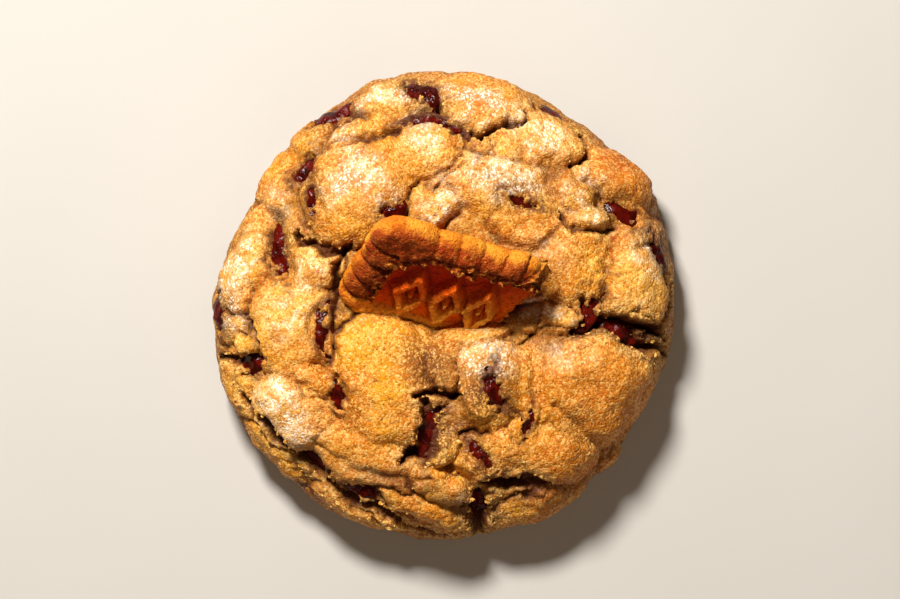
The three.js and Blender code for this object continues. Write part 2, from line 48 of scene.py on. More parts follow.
cookieMiddle = Vector(((cookieLow[0] + cookieHigh[0]) / 2, (cookieLow[1] + cookieHigh[1]) / 2, 0))


def hexColour(text):
    channels = [int(text[i:i + 2], 16) / 255 for i in (1, 3, 5)]
    linear = [c / 12.92 if c <= 0.04045 else ((c + 0.055) / 1.055) ** 2.4 for c in channels]
    return (*linear, 1.0)


def addNode(tree, kind, settings=None, inputs=None):
    node = tree.nodes.new(kind)
    for name, value in (settings or {}).items():
        setattr(node, name, value)
    for name, value in (inputs or {}).items():
        if isinstance(value, bpy.types.NodeSocket):
            tree.links.new(value, node.inputs[name])
        else:
            node.inputs[name].default_value = value
    return node


def newMaterial(name):
    material = bpy.data.materials.new(name)
    material.use_nodes = True
    tree = material.node_tree
    tree.nodes.clear()
    return material, tree


def surfaceValues(tree, painted, clouds):
    # what a material reads: its place, the values kept on the mesh, and clouds of
    # noise, each with its size in mm, detail and roughness
    value = {name: addNode(tree, "ShaderNodeAttribute", {"attribute_name": name}).outputs["Fac"]
             for name in painted}
    value["place"] = addNode(tree, "ShaderNodeTexCoord").outputs["Object"]
    for name, (size, detail, roughness) in clouds.items():
        cloud = addNode(tree, "ShaderNodeTexNoise", None, {
            "Vector": value["place"], "Scale": 1000 / size, "Detail": detail, "Roughness": roughness})
        value[name] = cloud.outputs["Fac"]
    return value


def deriveValues(tree, value, steps):
    # a step of two is multiplied; a step of five takes its first value from the span
    # between the next two to the span between the last two
    for name, step in steps.items():
        entries = dict(enumerate(value.get(entry, entry) for entry in step))
        if len(step) == 2:
            node = addNode(tree, "ShaderNodeMath", {"operation": "MULTIPLY"}, entries)
        else:
            node = addNode(tree, "ShaderNodeMapRange", {"interpolation_type": "SMOOTHSTEP"}, entries)
        value[name] = node.outputs[0]


def layColours(tree, value, layers):
    # each layer covers those before it by the value of its name; of a colour given as
    # three, the first two are blended by the value that the third names
    colour = hexColour(layers["ground"])
    for name, tint in list(layers.items())[1:]:
        if isinstance(tint, tuple):
            low, high, share = tint
            blend = {0: value[share], 6: hexColour(low), 7: hexColour(high)}
            tint = addNode(tree, "ShaderNodeMix", {"data_type": "RGBA"}, blend).outputs[2]
        else:
            tint = hexColour(tint)
        blend = {0: value[name], 6: colour, 7: tint}
        colour = addNode(tree, "ShaderNodeMix", {"data_type": "RGBA"}, blend).outputs[2]
    return colour


def finishMaterial(tree, shaderInputs, height=None, strength=1.0, depthMm=0.0):
    if height:
        bump = {"Strength": strength, "Distance": depthMm * mm, "Height": height.outputs[0]}
        shaderInputs["Normal"] = addNode(tree, "ShaderNodeBump", None, bump).outputs["Normal"]
    shader = addNode(tree, "ShaderNodeBsdfPrincipled", None, shaderInputs)
    addNode(tree, "ShaderNodeOutputMaterial", None, {"Surface": shader.outputs["BSDF"]})


def meshPiece(name, bm, material, nodes=(), smooth=True):
    mesh = bpy.data.meshes.new(name)
    bm.to_mesh(mesh)
    bm.free()
    mesh.polygons.foreach_set("use_smooth", [smooth] * len(mesh.polygons))
    piece = bpy.data.objects.new(name, mesh)
    bpy.context.scene.collection.objects.link(piece)
    mesh.materials.append(material)
    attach(piece, "root")
    if nodes:
        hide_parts(*nodes)
    return piece


def readPoints(mesh):
    flat = np.empty(len(mesh.vertices) * 3)
    mesh.vertices.foreach_get("co", flat)
    return flat.reshape(-1, 3)


def writePoints(mesh, points):
    mesh.vertices.foreach_set("co", np.ascontiguousarray(points, dtype=np.float32).ravel())
    mesh.update()


def addValue(mesh, name, values):
    attribute = mesh.attributes.new(name, "FLOAT", "POINT")
    attribute.data.foreach_set("value", np.ascontiguousarray(values, dtype=np.float32))


def softNoise(points, sizeMm, seed=0.0):
    # smooth noise between about -1 and 1, points in mm
    shift = 17.3 * seed
    scaled = points / sizeMm
    return np.array([noise.noise((x + shift, y - shift, z + 0.5 * shift)) for x, y, z in scaled])


def puffs(points, sizeMm, seed=0.0):
    # rounded lumps with sharp creases between them
    return 2.6 * np.abs(softNoise(points, sizeMm, seed)) - 0.6


def addedNoise(points, layers):
    # each layer: size in mm, seed, weight
    return sum(weight * softNoise(points, size, seed) for size, seed, weight in layers)


# the shape of the dough, in mm, by the solid's own formulas; the seat lies under the
# biscuit: centre x, y; half length, half width; turn; depth

dough = {
    "radius": 45.2, "height": 21.0, "widestAt": 5.5, "shoulder": 4.0, "crown": 2.2, "tuck": 1.6,
    "footShare": 0.94, "blend": 0.9, "floor": 0.2, "seat": (0.6, 4.2, 21.0, 9.0, -14, 3.0),
}

outlineRadii = np.array([
    46.4, 46.6, 47.8, 45.6, 45.4, 46.6, 47.0, 46.8, 45.2, 44.4, 43.2, 44.4,
    46.2, 46.4, 46.4, 46.2, 46.8, 46.4, 47.0, 46.0, 46.2, 46.0, 44.6, 46.0,
])

# centre x, y; half length, half width; turn in degrees; rise; squareness of the edge
lobes = {
    "leftCrown": (-17.4, 22.9, 13.4, 11.2, 22, 3.8, 3.2),
    "topMiddle": (-2.6, 31.4, 7.2, 7.4, 0, 3.0, 2.6),
    "topLeftRim": (-9.8, 41.2, 9.4, 5.2, 12, 2.8, 3),
    "topLeftFold": (-16.4, 35.0, 8.4, 4.0, 28, 1.9, 2.4),
    "topRight": (8.8, 40.4, 11.4, 7.6, -14, 3.4, 3.2),
    "topNub": (7.6, 31.7, 3.8, 2.4, -15, 2.9, 2.4),
    "rightUpper": (20.4, 33.2, 9.2, 6.6, -28, 3.3, 3),
    "rightUpperFold": (13.2, 32.4, 6.0, 5.0, 0, 2.2, 2.4),
    "sandyTop": (9.4, 24.4, 14.0, 7.0, -8, 2.8, 2.4),
    "behindBiscuit": (-1.4, 20.0, 6.4, 4.4, 25, 2.6, 2.6),
    "besideBiscuit": (17.6, 17.2, 9.6, 7.6, -30, 2.5, 2.4),
    "brownShoulder": (35.6, 25.6, 7.2, 9.0, 30, 3.4, 3),
    "knobTop": (28.2, 27.1, 3.0, 2.4, 20, 2.6, 2.4),
    "knobMiddle": (26.2, 22.4, 3.9, 5.0, 25, 2.8, 2.6),
    "knobLow": (29.6, 16.9, 3.3, 4.0, 30, 3.2, 2.6),
    "rightFlank": (38.8, 3.9, 7.8, 10.2, 8, 3.7, 3.2),
    "rightFlankTop": (38.6, 13.3, 6.4, 4.8, -20, 2.5, 2.6),
    "rightOfBiscuit": (25.4, 9.4, 8.4, 10.6, 20, 3.0, 2.4),
    "rightBand": (19.6, -2.7, 9.4, 3.3, -3, 2.5, 2.6),
    "lowerRight": (30.4, -17.3, 14.4, 12.2, -10, 3.8, 3.2),
    "lowerRightFold": (18.2, -16.5, 6.0, 9.6, 8, 2.3, 2.4),
    "middleLow": (9.6, -15.4, 7.8, 10.6, 6, 3.3, 2.8),
    "bottomMiddle": (14.6, -28.6, 8.2, 6.8, -10, 2.6, 2.4),
    "smoothCentre": (-10.9, -15.3, 12.8, 15.0, 6, 3.8, 3.2),
    "smoothCentreFlap": (-1.4, -12.9, 5.4, 6.6, 0, 3.2, 2.8),
    "leftFlank": (-30.2, -4.2, 8.8, 12.4, 5, 3.3, 2.6),
    "leftFlankTop": (-25.8, 7.4, 6.4, 5.6, 0, 2.8, 2.4),
    "leftRim": (-40.4, 6.3, 6.2, 11.4, -18, 2.9, 2.8),
    "leftNub": (-37.6, -8.2, 4.4, 2.6, -12, 2.9, 2.4),
    "leftRimLow": (-41.2, -16.4, 6.0, 8.0, 20, 2.3, 2.6),
    "leftRimMiddle": (-42.4, -3.6, 4.4, 5.4, 0, 2.2, 2.4),
    "lowerLeft": (-30.4, -21.5, 9.6, 8.2, -35, 3.5, 3),
    "lowerLeftRidge": (-25.4, -14.6, 6.4, 3.4, -35, 3.1, 2.6),
    "bottomBand": (-15.4, -30.6, 14.6, 6.4, -20, 2.9, 2.6),
    "bottomFold": (-1.6, -35.6, 9.0, 3.6, -25, 2.8, 2.6),
    "bottomFoldLow": (-4.6, -40.2, 12.4, 3.2, -26, 2.5, 2.6),
    "bottomLedge": (-16.6, -41.6, 12.0, 4.2, -26, 1.9, 2.6),
    "bottomLeftLedge": (-34.4, -28.8, 10.2, 3.6, -48, 1.8, 2.6),
    "bottomRight": (23.2, -29.9, 11.0, 7.2, 8, 2.9, 2.6),
    "bottomRightRim": (19.2, -40.3, 12.4, 5.2, 18, 2.6, 2.8),
    "bottomRightNub": (33.6, -31.1, 4.4, 4.0, 30, 1.9, 2.4),
    "craterKnob": (-1.0, -28.9, 4.4, 3.8, 0, 2.9, 2.6),
    "craterKnobLow": (5.8, -32.9, 5.0, 3.4, -45, 3.0, 2.6),
    "underBiscuit": (6.4, -5.4, 9.0, 2.8, 12, 2.7, 2.6),
    "leftTopRim": (-27.2, 33.3, 6.8, 5.6, 40, 2.5, 2.6),
    "leftUpperRim": (-33.2, 24.4, 6.6, 7.8, -20, 2.7, 2.6),
    "leftGapRim": (-36.8, 16.6, 4.8, 5.4, 0, 2.1, 2.6),
}

# start x, y; end x, y; bow; half width; depth
cracks = {
    "underLeftCrown": (-29.2, 14.9, -18.6, 12.1, -2.6, 1.0, 2.4),
    "leftOfBiscuit": (-20.4, 11.4, -18.4, -0.2, -2.4, 1.0, 2.4),
    "underTopRight": (4.2, 33.9, 16.4, 38.1, -2.0, 0.9, 2.4),
    "besideShoulder": (28.2, 34.2, 24.6, 27.5, 2.2, 0.9, 1.8),
    "underKnobs": (22.8, 19.5, 33.4, 15.7, -3.8, 0.9, 1.4),
    "rightFissure": (26.0, -4.9, 44.4, -6.6, 2.4, 1.3, 4.6),
    "rightFissureLow": (34.4, -5.5, 46.4, -9.9, -0.8, 1.2, 4.2),
    "middleSeam": (14.2, -5.3, 17.2, -24.5, 3.0, 0.8, 1.5),
    "crater": (-3.6, -19.2, -8.6, -30.7, 3.6, 1.6, 3.8),
    "craterTop": (3.4, -17.9, -5.6, -18.7, -1.6, 1.0, 2.6),
    "craterTail": (1.6, -31.9, 8.4, -38.9, 0.6, 1.2, 3.0),
    "bottomNotch": (7.6, -37.4, 7.6, -47.0, -0.8, 1.9, 6.0),
    "bottomGroove": (8.4, -34.6, 21.4, -34.8, -0.4, 1.6, 2.6),
    "lowerLeftFold": (-39.4, -17.5, 4.4, -46.3, -3.8, 1.2, 3.2),
    "bottomBandFold": (-24.6, -27.7, -2.6, -34.5, -1.8, 0.9, 1.2),
    "leftRimCrack": (-45.2, -9.7, -36.0, -10.3, -0.9, 1.0, 2.5),
    "rightRimGroove": (45.8, 4.1, 42.8, -6.1, 1.0, 1.0, 2.5),
    "topCrack": (-9.2, 44.4, -0.8, 38.9, 1.2, 1.2, 2.6),
    "topArc": (-8.8, 36.1, 4.6, 32.9, 3.2, 1.0, 2.0),
    "lowerRightCrease": (21.4, -19.5, 36.4, -28.1, -1.6, 1.0, 2.0),
    "sandyTopPit": (11.2, 23.3, 19.6, 20.3, -0.6, 0.9, 1.8),
    "shoulderGroove": (30.4, 20.3, 44.4, 17.3, -0.8, 1.5, 2.6),
    "leftGap": (-35.2, 18.3, -31.2, 5.3, 1.2, 1.9, 2.9),
    "leftCrescent": (-21.4, 1.5, -21.4, -10.3, -4.0, 1.0, 2.0),
    "lowerLeftSlot": (-25.8, -11.1, -20.4, -21.4, 2.2, 1.0, 2.4),
    "rightSlot": (27.0, 2.0, 31.6, -4.4, -0.6, 1.2, 2.2),
    "underBiscuitSeam": (-6.6, -3.6, 7.4, -7.1, -1.6, 0.9, 1.5),
    "leftCrownEdge": (-31.2, 31.4, -24.2, 19.4, 1.2, 1.2, 1.8),
}

# cracks too fine for the solid, drawn only here
fineCracks = {
    "aboveBiscuit": (-1.8, 23.3, 5.2, 27.7, 0.6, 0.35, 1.3),
    "leftCrownTear": (-7.6, 20.9, -4.2, 24.3, -0.3, 0.3, 1.0),
    "nearBiscuit": (-2.8, 17.3, -0.4, 19.7, 0.2, 0.3, 0.8),
    "bandTear": (15.0, -7.3, 27.4, -4.1, 1.2, 0.35, 1.1),
    "craterLip": (3.6, -26.6, 9.2, -25.5, 0.0, 0.5, 1.6),
    "bottomLedgeTear": (-20.6, -38.3, -12.6, -42.9, 0.3, 0.6, 1.6),
    "leftFlankTear": (-39.4, -2.3, -35.6, -10.1, 0.6, 0.4, 1.2),
    "topLeftTear": (-24.0, 38.9, -14.0, 36.3, 0.6, 0.7, 1.3),
    "crownTopTear": (-20.0, 30.6, -9.0, 34.6, 0.8, 0.6, 1.0),
    "scar": (23.4, -14.6, 27.4, -15.8, 0.3, 0.3, 0.5),
    "flankTearA": (36.2, -0.6, 41.0, -2.2, 0.4, 0.35, 0.9),
    "flankTearB": (31.0, 8.6, 35.0, 6.2, -0.4, 0.3, 0.7),
    "lowerLeftTear": (-30.4, -14.7, -27.2, -17.5, 0.4, 0.35, 0.9),
    "sandyTear": (17.0, 19.9, 19.6, 20.7, 0.2, 0.3, 0.9),
    "middleTear": (7.4, -8.2, 14.6, -7.2, 0.5, 0.35, 0.9),
    "bottomTearA": (-8.0, -29.5, -2.0, -31.2, 0.3, 0.35, 0.9),
    "bottomTearB": (12.0, -23.5, 16.0, -27.5, 0.3, 0.3, 0.7),
    "shoulderTear": (33.0, 30.5, 38.0, 22.0, 0.6, 0.3, 0.6),
}


def domeSection():
    steps = 400
    turn = np.linspace(0, math.pi / 2, steps + 1)
    cosine = np.cos(turn)
    cosine[-1] = 0
    radius = dough["radius"] * np.sin(turn) ** (2 / dough["shoulder"])
    height = dough["widestAt"] + (dough["height"] - dough["widestAt"]) * cosine ** (2 / dough["crown"])
    under = np.linspace(0, math.pi / 2, steps // 4 + 1)[1:]
    radius = np.concatenate([radius, dough["radius"] - dough["tuck"] * (1 - np.cos(under))])
    height = np.concatenate([height, dough["widestAt"] * (1 - np.sin(under))])
    arc = np.concatenate([[0], np.cumsum(np.hypot(np.diff(radius), np.diff(height)))])
    return radius, height, arc, steps + 1


sectionRadius, sectionHeight, sectionArc, rising = domeSection()
footArc = sectionArc[-1]
footRadius = dough["radius"] - dough["tuck"]


def outlineRadius(angle):
    count = len(outlineRadii)
    place = np.mod(np.asarray(angle) / (2 * math.pi), 1.0) * count
    i = np.floor(place).astype(int) % count
    t = place - np.floor(place)
    ease = t * t * (3 - 2 * t)
    return outlineRadii[i] * (1 - ease) + outlineRadii[(i + 1) % count] * ease


def unroll(x, y):
    # a place seen from above, laid flat along the dome
    angle = math.atan2(y, x)
    reach = min(math.hypot(x, y) * dough["radius"] / float(outlineRadius(angle)), dough["radius"])
    arc = float(np.interp(reach, sectionRadius[:rising], sectionArc[:rising]))
    return arc * math.cos(angle), arc * math.sin(angle)


def unrolledSpot(x, y, turn):
    # a spot's centre laid flat, and its turn as a cosine and a sine
    turn = math.radians(turn)
    return (*unroll(x, y), math.cos(turn), math.sin(turn))


def wander(u, v, size=0.5, wavelength=8.5, seed=0.3):
    # crooked edges: every place is read a little to one side
    a = 0
    b = 0
    for k in range(5):
        turn = 2.4 * k + seed
        wave = 2 * math.pi / (wavelength * (0.62 + 0.21 * k))
        a = a + np.sin(wave * (u * math.cos(turn) + v * math.sin(turn)) + 2.3 * k + seed)
        b = b + np.sin(wave * (u * math.sin(turn + 0.6) - v * math.cos(turn + 0.6)) + 1.7 * k + 2 * seed)
    return u + size * a / 2, v + size * b / 2


def ovalDistance(oval, u, v):
    x, y, halfLength, halfWidth, turn = oval[:5]
    cu, cv, cos, sin = unrolledSpot(x, y, turn)
    du, dv = u - cu, v - cv
    return np.hypot((du * cos + dv * sin) / halfLength, (dv * cos - du * sin) / halfWidth)


def ovalHollow(oval, u, v):
    return oval[5] * np.exp(-ovalDistance(oval, u, v) ** 4)


def crackDistance(crack, u, v):
    # a crack is a bowed line of short runs that taper to its ends
    x0, y0, x1, y1, bow = crack[:5]
    start, end = np.array(unroll(x0, y0)), np.array(unroll(x1, y1))
    side = (end - start) / np.linalg.norm(end - start)
    middle = (start + end) / 2 + np.array((-side[1], side[0])) * 2 * bow
    runs = 8
    shares = np.linspace(0, 1, runs + 1)[:, None]
    points = (1 - shares) ** 2 * start + 2 * shares * (1 - shares) * middle + shares ** 2 * end
    nearest = np.full(np.shape(u), 1e9)
    for i in range(runs):
        a, e = points[i], points[i + 1] - points[i]
        t = np.clip(((u - a[0]) * e[0] + (v - a[1]) * e[1]) / (e @ e), 0, 1)
        taper = 0.45 + 0.55 * np.sin(math.pi * (i + t) / runs) ** 0.6
        nearest = np.minimum(nearest, np.hypot(u - a[0] - t * e[0], v - a[1] - t * e[1]) / taper)
    return nearest


def lobeHeight(u, v, blend=dough["blend"], squarer=1.0):
    height = np.full(np.shape(u), dough["floor"])
    for lobe in lobes.values():
        own = np.maximum(lobe[5] * (1 - ovalDistance(lobe, u, v) ** (lobe[6] * squarer)), -4)
        apart = np.abs(height - own)
        height = np.maximum(height, own) + np.where(apart < blend, (blend - apart) ** 2 / (4 * blend), 0)
    return height


def lobeGap(u, v):
    # how much the highest lobe stands over the next one: 0 on the crease between them
    first, second = np.full(np.shape(u), -9.0), np.full(np.shape(u), -9.0)
    for lobe in lobes.values():
        own = lobe[5] * (1 - ovalDistance(lobe, u, v) ** lobe[6])
        second = np.maximum(second, np.minimum(first, own))
        first = np.maximum(first, own)
    return first - np.maximum(second, 0)


def crackDepth(cracksHere, u, v, widen=1.0, steep=2):
    depth = np.zeros(np.shape(u))
    for crack in cracksHere.values():
        depth += crack[6] * np.exp(-(crackDistance(crack, u, v) / (crack[5] * widen)) ** steep)
    return depth


def rimCalm(u, v):
    # the relief is weaker towards the foot
    return np.interp(np.hypot(u, v), (38, 50, 60), (1, 0.6, 0.5))


def relief(u0, v0):
    # the solid's own relief, which the chunks are seated on
    u0, v0 = np.asarray(u0, dtype=float), np.asarray(v0, dtype=float)
    u, v = wander(u0, v0)
    height = lobeHeight(u, v) - crackDepth(cracks, u, v) - ovalHollow(dough["seat"], u0, v0)
    return height * rimCalm(u0, v0)


def onDome(u, v, lift):
    # a place laid flat goes back onto the dome, lifted square to it
    u, v = np.asarray(u, dtype=float), np.asarray(v, dtype=float)
    arc, angle = np.hypot(u, v), np.arctan2(v, u)
    before, after = np.maximum(arc - 0.25, 0), np.minimum(arc + 0.25, footArc)
    dr = np.interp(after, sectionArc, sectionRadius) - np.interp(before, sectionArc, sectionRadius)
    dz = np.interp(after, sectionArc, sectionHeight) - np.interp(before, sectionArc, sectionHeight)
    size = np.hypot(dr, dz)
    r = np.interp(arc, sectionArc, sectionRadius) * outlineRadius(angle) / dough["radius"] - lift * dz / size
    z = np.interp(arc, sectionArc, sectionHeight) + lift * dr / size
    return np.stack([r * np.cos(angle), r * np.sin(angle), z], axis=-1)


def inPlace(points):
    # mm round the dough's own axis to metres in the frame
    return points * mm + np.array(cookieMiddle)


# where the chocolate chunks lie:
# centre x, y; half length, half width, half depth; turn; bend; height over the dough
chunks = [
    (-33.4, 11.4, 6.6, 2.3, 2.2, -76, 0.0, 0.5),
    (-23.5, -4.5, 5.9, 1.5, 2.0, 90, -1.6, 1.2),
    (-21.6, -17.6, 3.8, 1.5, 2.0, -68, 0.0, 1.0),
    (-37.6, -11.6, 3.0, 2.2, 2.0, 20, 0.0, 1.0),
    (-44.0, -1.2, 4.2, 1.6, 1.8, 95, 0.0, 0.7),
    (-22.6, 37.7, 5.2, 2.0, 2.0, 22, 0.6, 0.7),
    (-27.6, 26.8, 4.4, 1.9, 2.0, 52, 0.0, 0.5),
    (-25.6, 20.6, 2.8, 1.5, 1.8, 80, 0.0, 0.6),
    (-36.6, 22.8, 2.6, 1.6, 1.8, 60, 0.0, 0.8),
    (-4.6, 42.6, 5.0, 2.4, 2.2, -33, 0.0, 0.7),
    (-1.8, 36.2, 7.0, 1.3, 1.8, -12, -1.8, 0.7),
    (-9.8, 18.6, 2.6, 1.6, 2.0, 10, 0.0, 0.7),
    (22.0, 38.0, 3.4, 2.0, 2.0, -48, 0.0, 0.8),
    (15.4, 21.7, 4.0, 1.4, 1.8, -20, 0.0, 1.2),
    (37.0, 18.4, 5.2, 2.0, 2.0, -12, 0.0, 1.0),
    (42.4, 10.0, 4.2, 2.0, 1.8, -60, 0.0, 0.7),
    (29.8, -0.8, 5.6, 1.6, 2.0, 60, 0.0, 0.9),
    (36.6, -5.4, 5.6, 1.6, 2.0, -22, 0.0, 0.9),
    (8.6, -17.0, 4.8, 3.4, 2.2, 66, 0.0, 1.0),
    (16.9, -23.4, 3.6, 1.2, 1.8, 66, 0.0, 0.6),
    (-2.6, -24.4, 5.8, 2.2, 2.2, 78, -1.2, 0.9),
    (8.6, -30.0, 3.6, 1.9, 2.0, -48, 0.0, 0.9),
    (7.2, -41.4, 4.2, 2.2, 2.2, -64, 0.0, 0.8),
    (-25.4, -31.2, 3.6, 1.3, 1.8, -32, 0.0, 0.7),
    (-16.4, -37.0, 3.8, 1.3, 1.8, -30, 0.0, 0.7),
]


def chunkTop(chunk):
    # height of the chunk's top over the dome, as in the solid
    x, y, halfLength, halfWidth, _, turn, _, proud = chunk
    cu, cv, cos, sin = unrolledSpot(x, y, turn)
    shares = np.array((-0.7, -0.35, 0, 0.35, 0.7))
    i, j = np.meshgrid(shares, shares)
    u = cu + i * halfLength * cos - j * halfWidth * sin
    v = cv + i * halfLength * sin + j * halfWidth * cos
    return float(np.mean(relief(u, v))) + proud


def chunkDistance(spot, u, v):
    # 0 in the middle of the chunk, 1 on its rim
    x, y, halfLength, halfWidth, turn, bend = spot
    cu, cv, cos, sin = unrolledSpot(x, y, turn)
    along = ((u - cu) * cos + (v - cv) * sin) / halfLength
    across = (v - cv) * cos - (u - cu) * sin - bend * (along * along - 0.35)
    return np.hypot(along, across / halfWidth)


# how the biscuit half is sized, in mm, and how it leans

biscuit = {
    "width": 28.2, "topLength": 37.0, "lowLength": 30.5, "thickness": 6.0, "corner": 5.0,
    "border": 5.6, "lowBorder": 4.0, "endBorder": 0.6, "borderEdge": 0.16, "innerCorner": 14.0,
    "panelDepth": 1.7, "plainLow": 5,
    "centre": (0.7, 4.4, 26.2), "lean": (-0.070, -0.815, 0.575), "along": (0.940, -0.235, -0.260),
    "edgeRoll": 3.0, "brokenRoll": 0.35, "breakSlant": 0.55, "tipRound": 3.2,
    # flutes: their pitch, how far they stand out, and the valleys between the uneven ones
    "rib": 4.7, "ribDepth": 0.9, "ribGroove": 0.5, "slotDepth": 1.1, "scallop": 0.6,
    "cornerBulge": 1.3, "bulgeAt": -12.8, "bulgeHalf": 6.4, "thinFrom": 12.0, "thinBy": 0.8,
    "topValleys": (-6.6, -1.9, 3.0, 7.7, 12.0, 16.9), "endValleys": (7.6, 2.2, -3.4, -8.6, -13.6),
    "endReach": 9.5,
    # crumb
    "lineLumps": 1.3, "innerLumps": 0.38, "crumb": 0.3,
    # plain raised lozenges: how many, the first one's place, their spacing, half sizes and height
    "lozenges": 3, "firstLozenge": 12.2, "lozengeStep": 7.4, "lozengeHalf": (3.6, 7.2), "lozengeRise": 2.3,
}


def biscuitFrame():
    lean = Vector(biscuit["lean"])
    across = lean.cross(Vector(biscuit["along"])).normalized()
    along = across.cross(lean).normalized()
    return Matrix((along, across, lean.normalized())).transposed()


def onBiscuit(points):
    # places in mm round the dough's axis, seen from the biscuit: along, across and in front
    return (points - np.array(biscuit["centre"])) @ np.array(biscuitFrame())


# dough: a ball of 184,320 faces pressed onto the dome, then cracked and roughened

doughLook = {
    # height and size of each kind of roughness, in mm
    "lumps": 0.38, "lumpSize": 8.0, "crumble": 0.46, "crumbSize": 1.9, "pits": 1.1, "pitSize": 1.9,
    "grain": 0.08, "grainSize": 0.62, "sideLumps": 0.75, "sideLumpSize": 7.5,
    # cracks against the solid's: width and steepness, a narrow core, and the soft ones
    "crackWiden": 0.85, "crackSteep": 3, "core": 0.4, "coreWiden": 0.42, "valley": 0.7, "valleyWiden": 1.3,
    # folds between lobes
    "blend": 0.45, "squarer": 1.15, "crease": 1.25, "creaseWidth": 0.42, "sideFrom": 44, "sideWidth": 8,
    # torn edges: how far they stray, by noise of a size in mm, a seed and a weight
    "tornEdge": 0.8, "fineStray": 0.7,
    "strayU": ((3.4, 1, 0.8), (1.4, 2, 0.8), (0.7, 14, 0.4)),
    "strayV": ((3.4, 3, 0.8), (1.4, 4, 0.8), (0.7, 15, 0.4)),
    "pitStrayU": ((1.9, 33, 0.9), (0.8, 33.5, 0.4)), "pitStrayV": ((1.9, 34, 0.9), (0.8, 34.5, 0.4)),
    # how the chocolate shows
    "chunkSink": 0.5, "pit": 1.2, "pitWall": 0.35, "film": 0.35, "filmReach": 1.35, "smearReach": 1.8,
    # beside the biscuit: an open gap, a slight rise in front of it, and a dip as for the seat
    "biscuitGap": 1.5, "gapWidth": 0.75, "frontRise": 0.1, "dip": (3.4, -3.4, 7.4, 2.6, -4, 1.5),
}

# these cracks are only soft valleys in the crust; the others are torn open
softCracks = (
    "leftCrescent", "middleSeam", "lowerRightCrease", "bottomBandFold", "underBiscuitSeam", "leftCrownEdge",
    "shoulderGroove", "sandyTopPit", "lowerLeftSlot", "leftGap", "craterTail",
)

# what shows of a chunk whose top is partly under dough:
# centre x, y; half length, half width; turn; bend
shownAs = {
    1: (-33.2, 11.2, 6.4, 1.5, -74, 0.6), 2: (-23.6, -4.5, 7.0, 0.95, 90, -2.3),
    3: (-20.9, -17.5, 3.4, 1.1, -82, 0.4), 7: (-27.8, 26.6, 3.8, 1.4, 52, 0.6),
    8: (-25.8, 20.6, 2.6, 1.1, 80, 0.0), 11: (-2.0, 36.0, 6.4, 1.0, -12, -1.9),
    12: (-9.9, 18.4, 2.4, 1.1, 6, 0.0), 13: (22.0, 37.8, 2.8, 1.9, -40, 0.3),
    14: (15.6, 20.4, 3.4, 0.9, -24, 0.4), 15: (35.8, 18.4, 5.0, 1.5, -34, 0.5),
    16: (42.2, 9.8, 3.4, 1.3, -58, 0.4), 17: (29.4, -0.9, 5.2, 1.0, 61, 0.5),
    18: (36.0, -5.0, 4.8, 1.2, -22, 0.4), 19: (10.7, -17.2, 5.0, 1.6, -66, 1.7),
    20: (16.9, -23.2, 3.4, 0.85, 72, 0.4), 21: (-3.0, -24.8, 5.4, 1.4, 72, -1.4),
    22: (7.4, -29.4, 4.4, 1.2, -50, 0.6),
}

# these lie under a thin film of dough, apart from what shownAs lists
filmed = (1, 2, 3, 7, 8, 11, 14, 15, 19, 20, 21, 22)

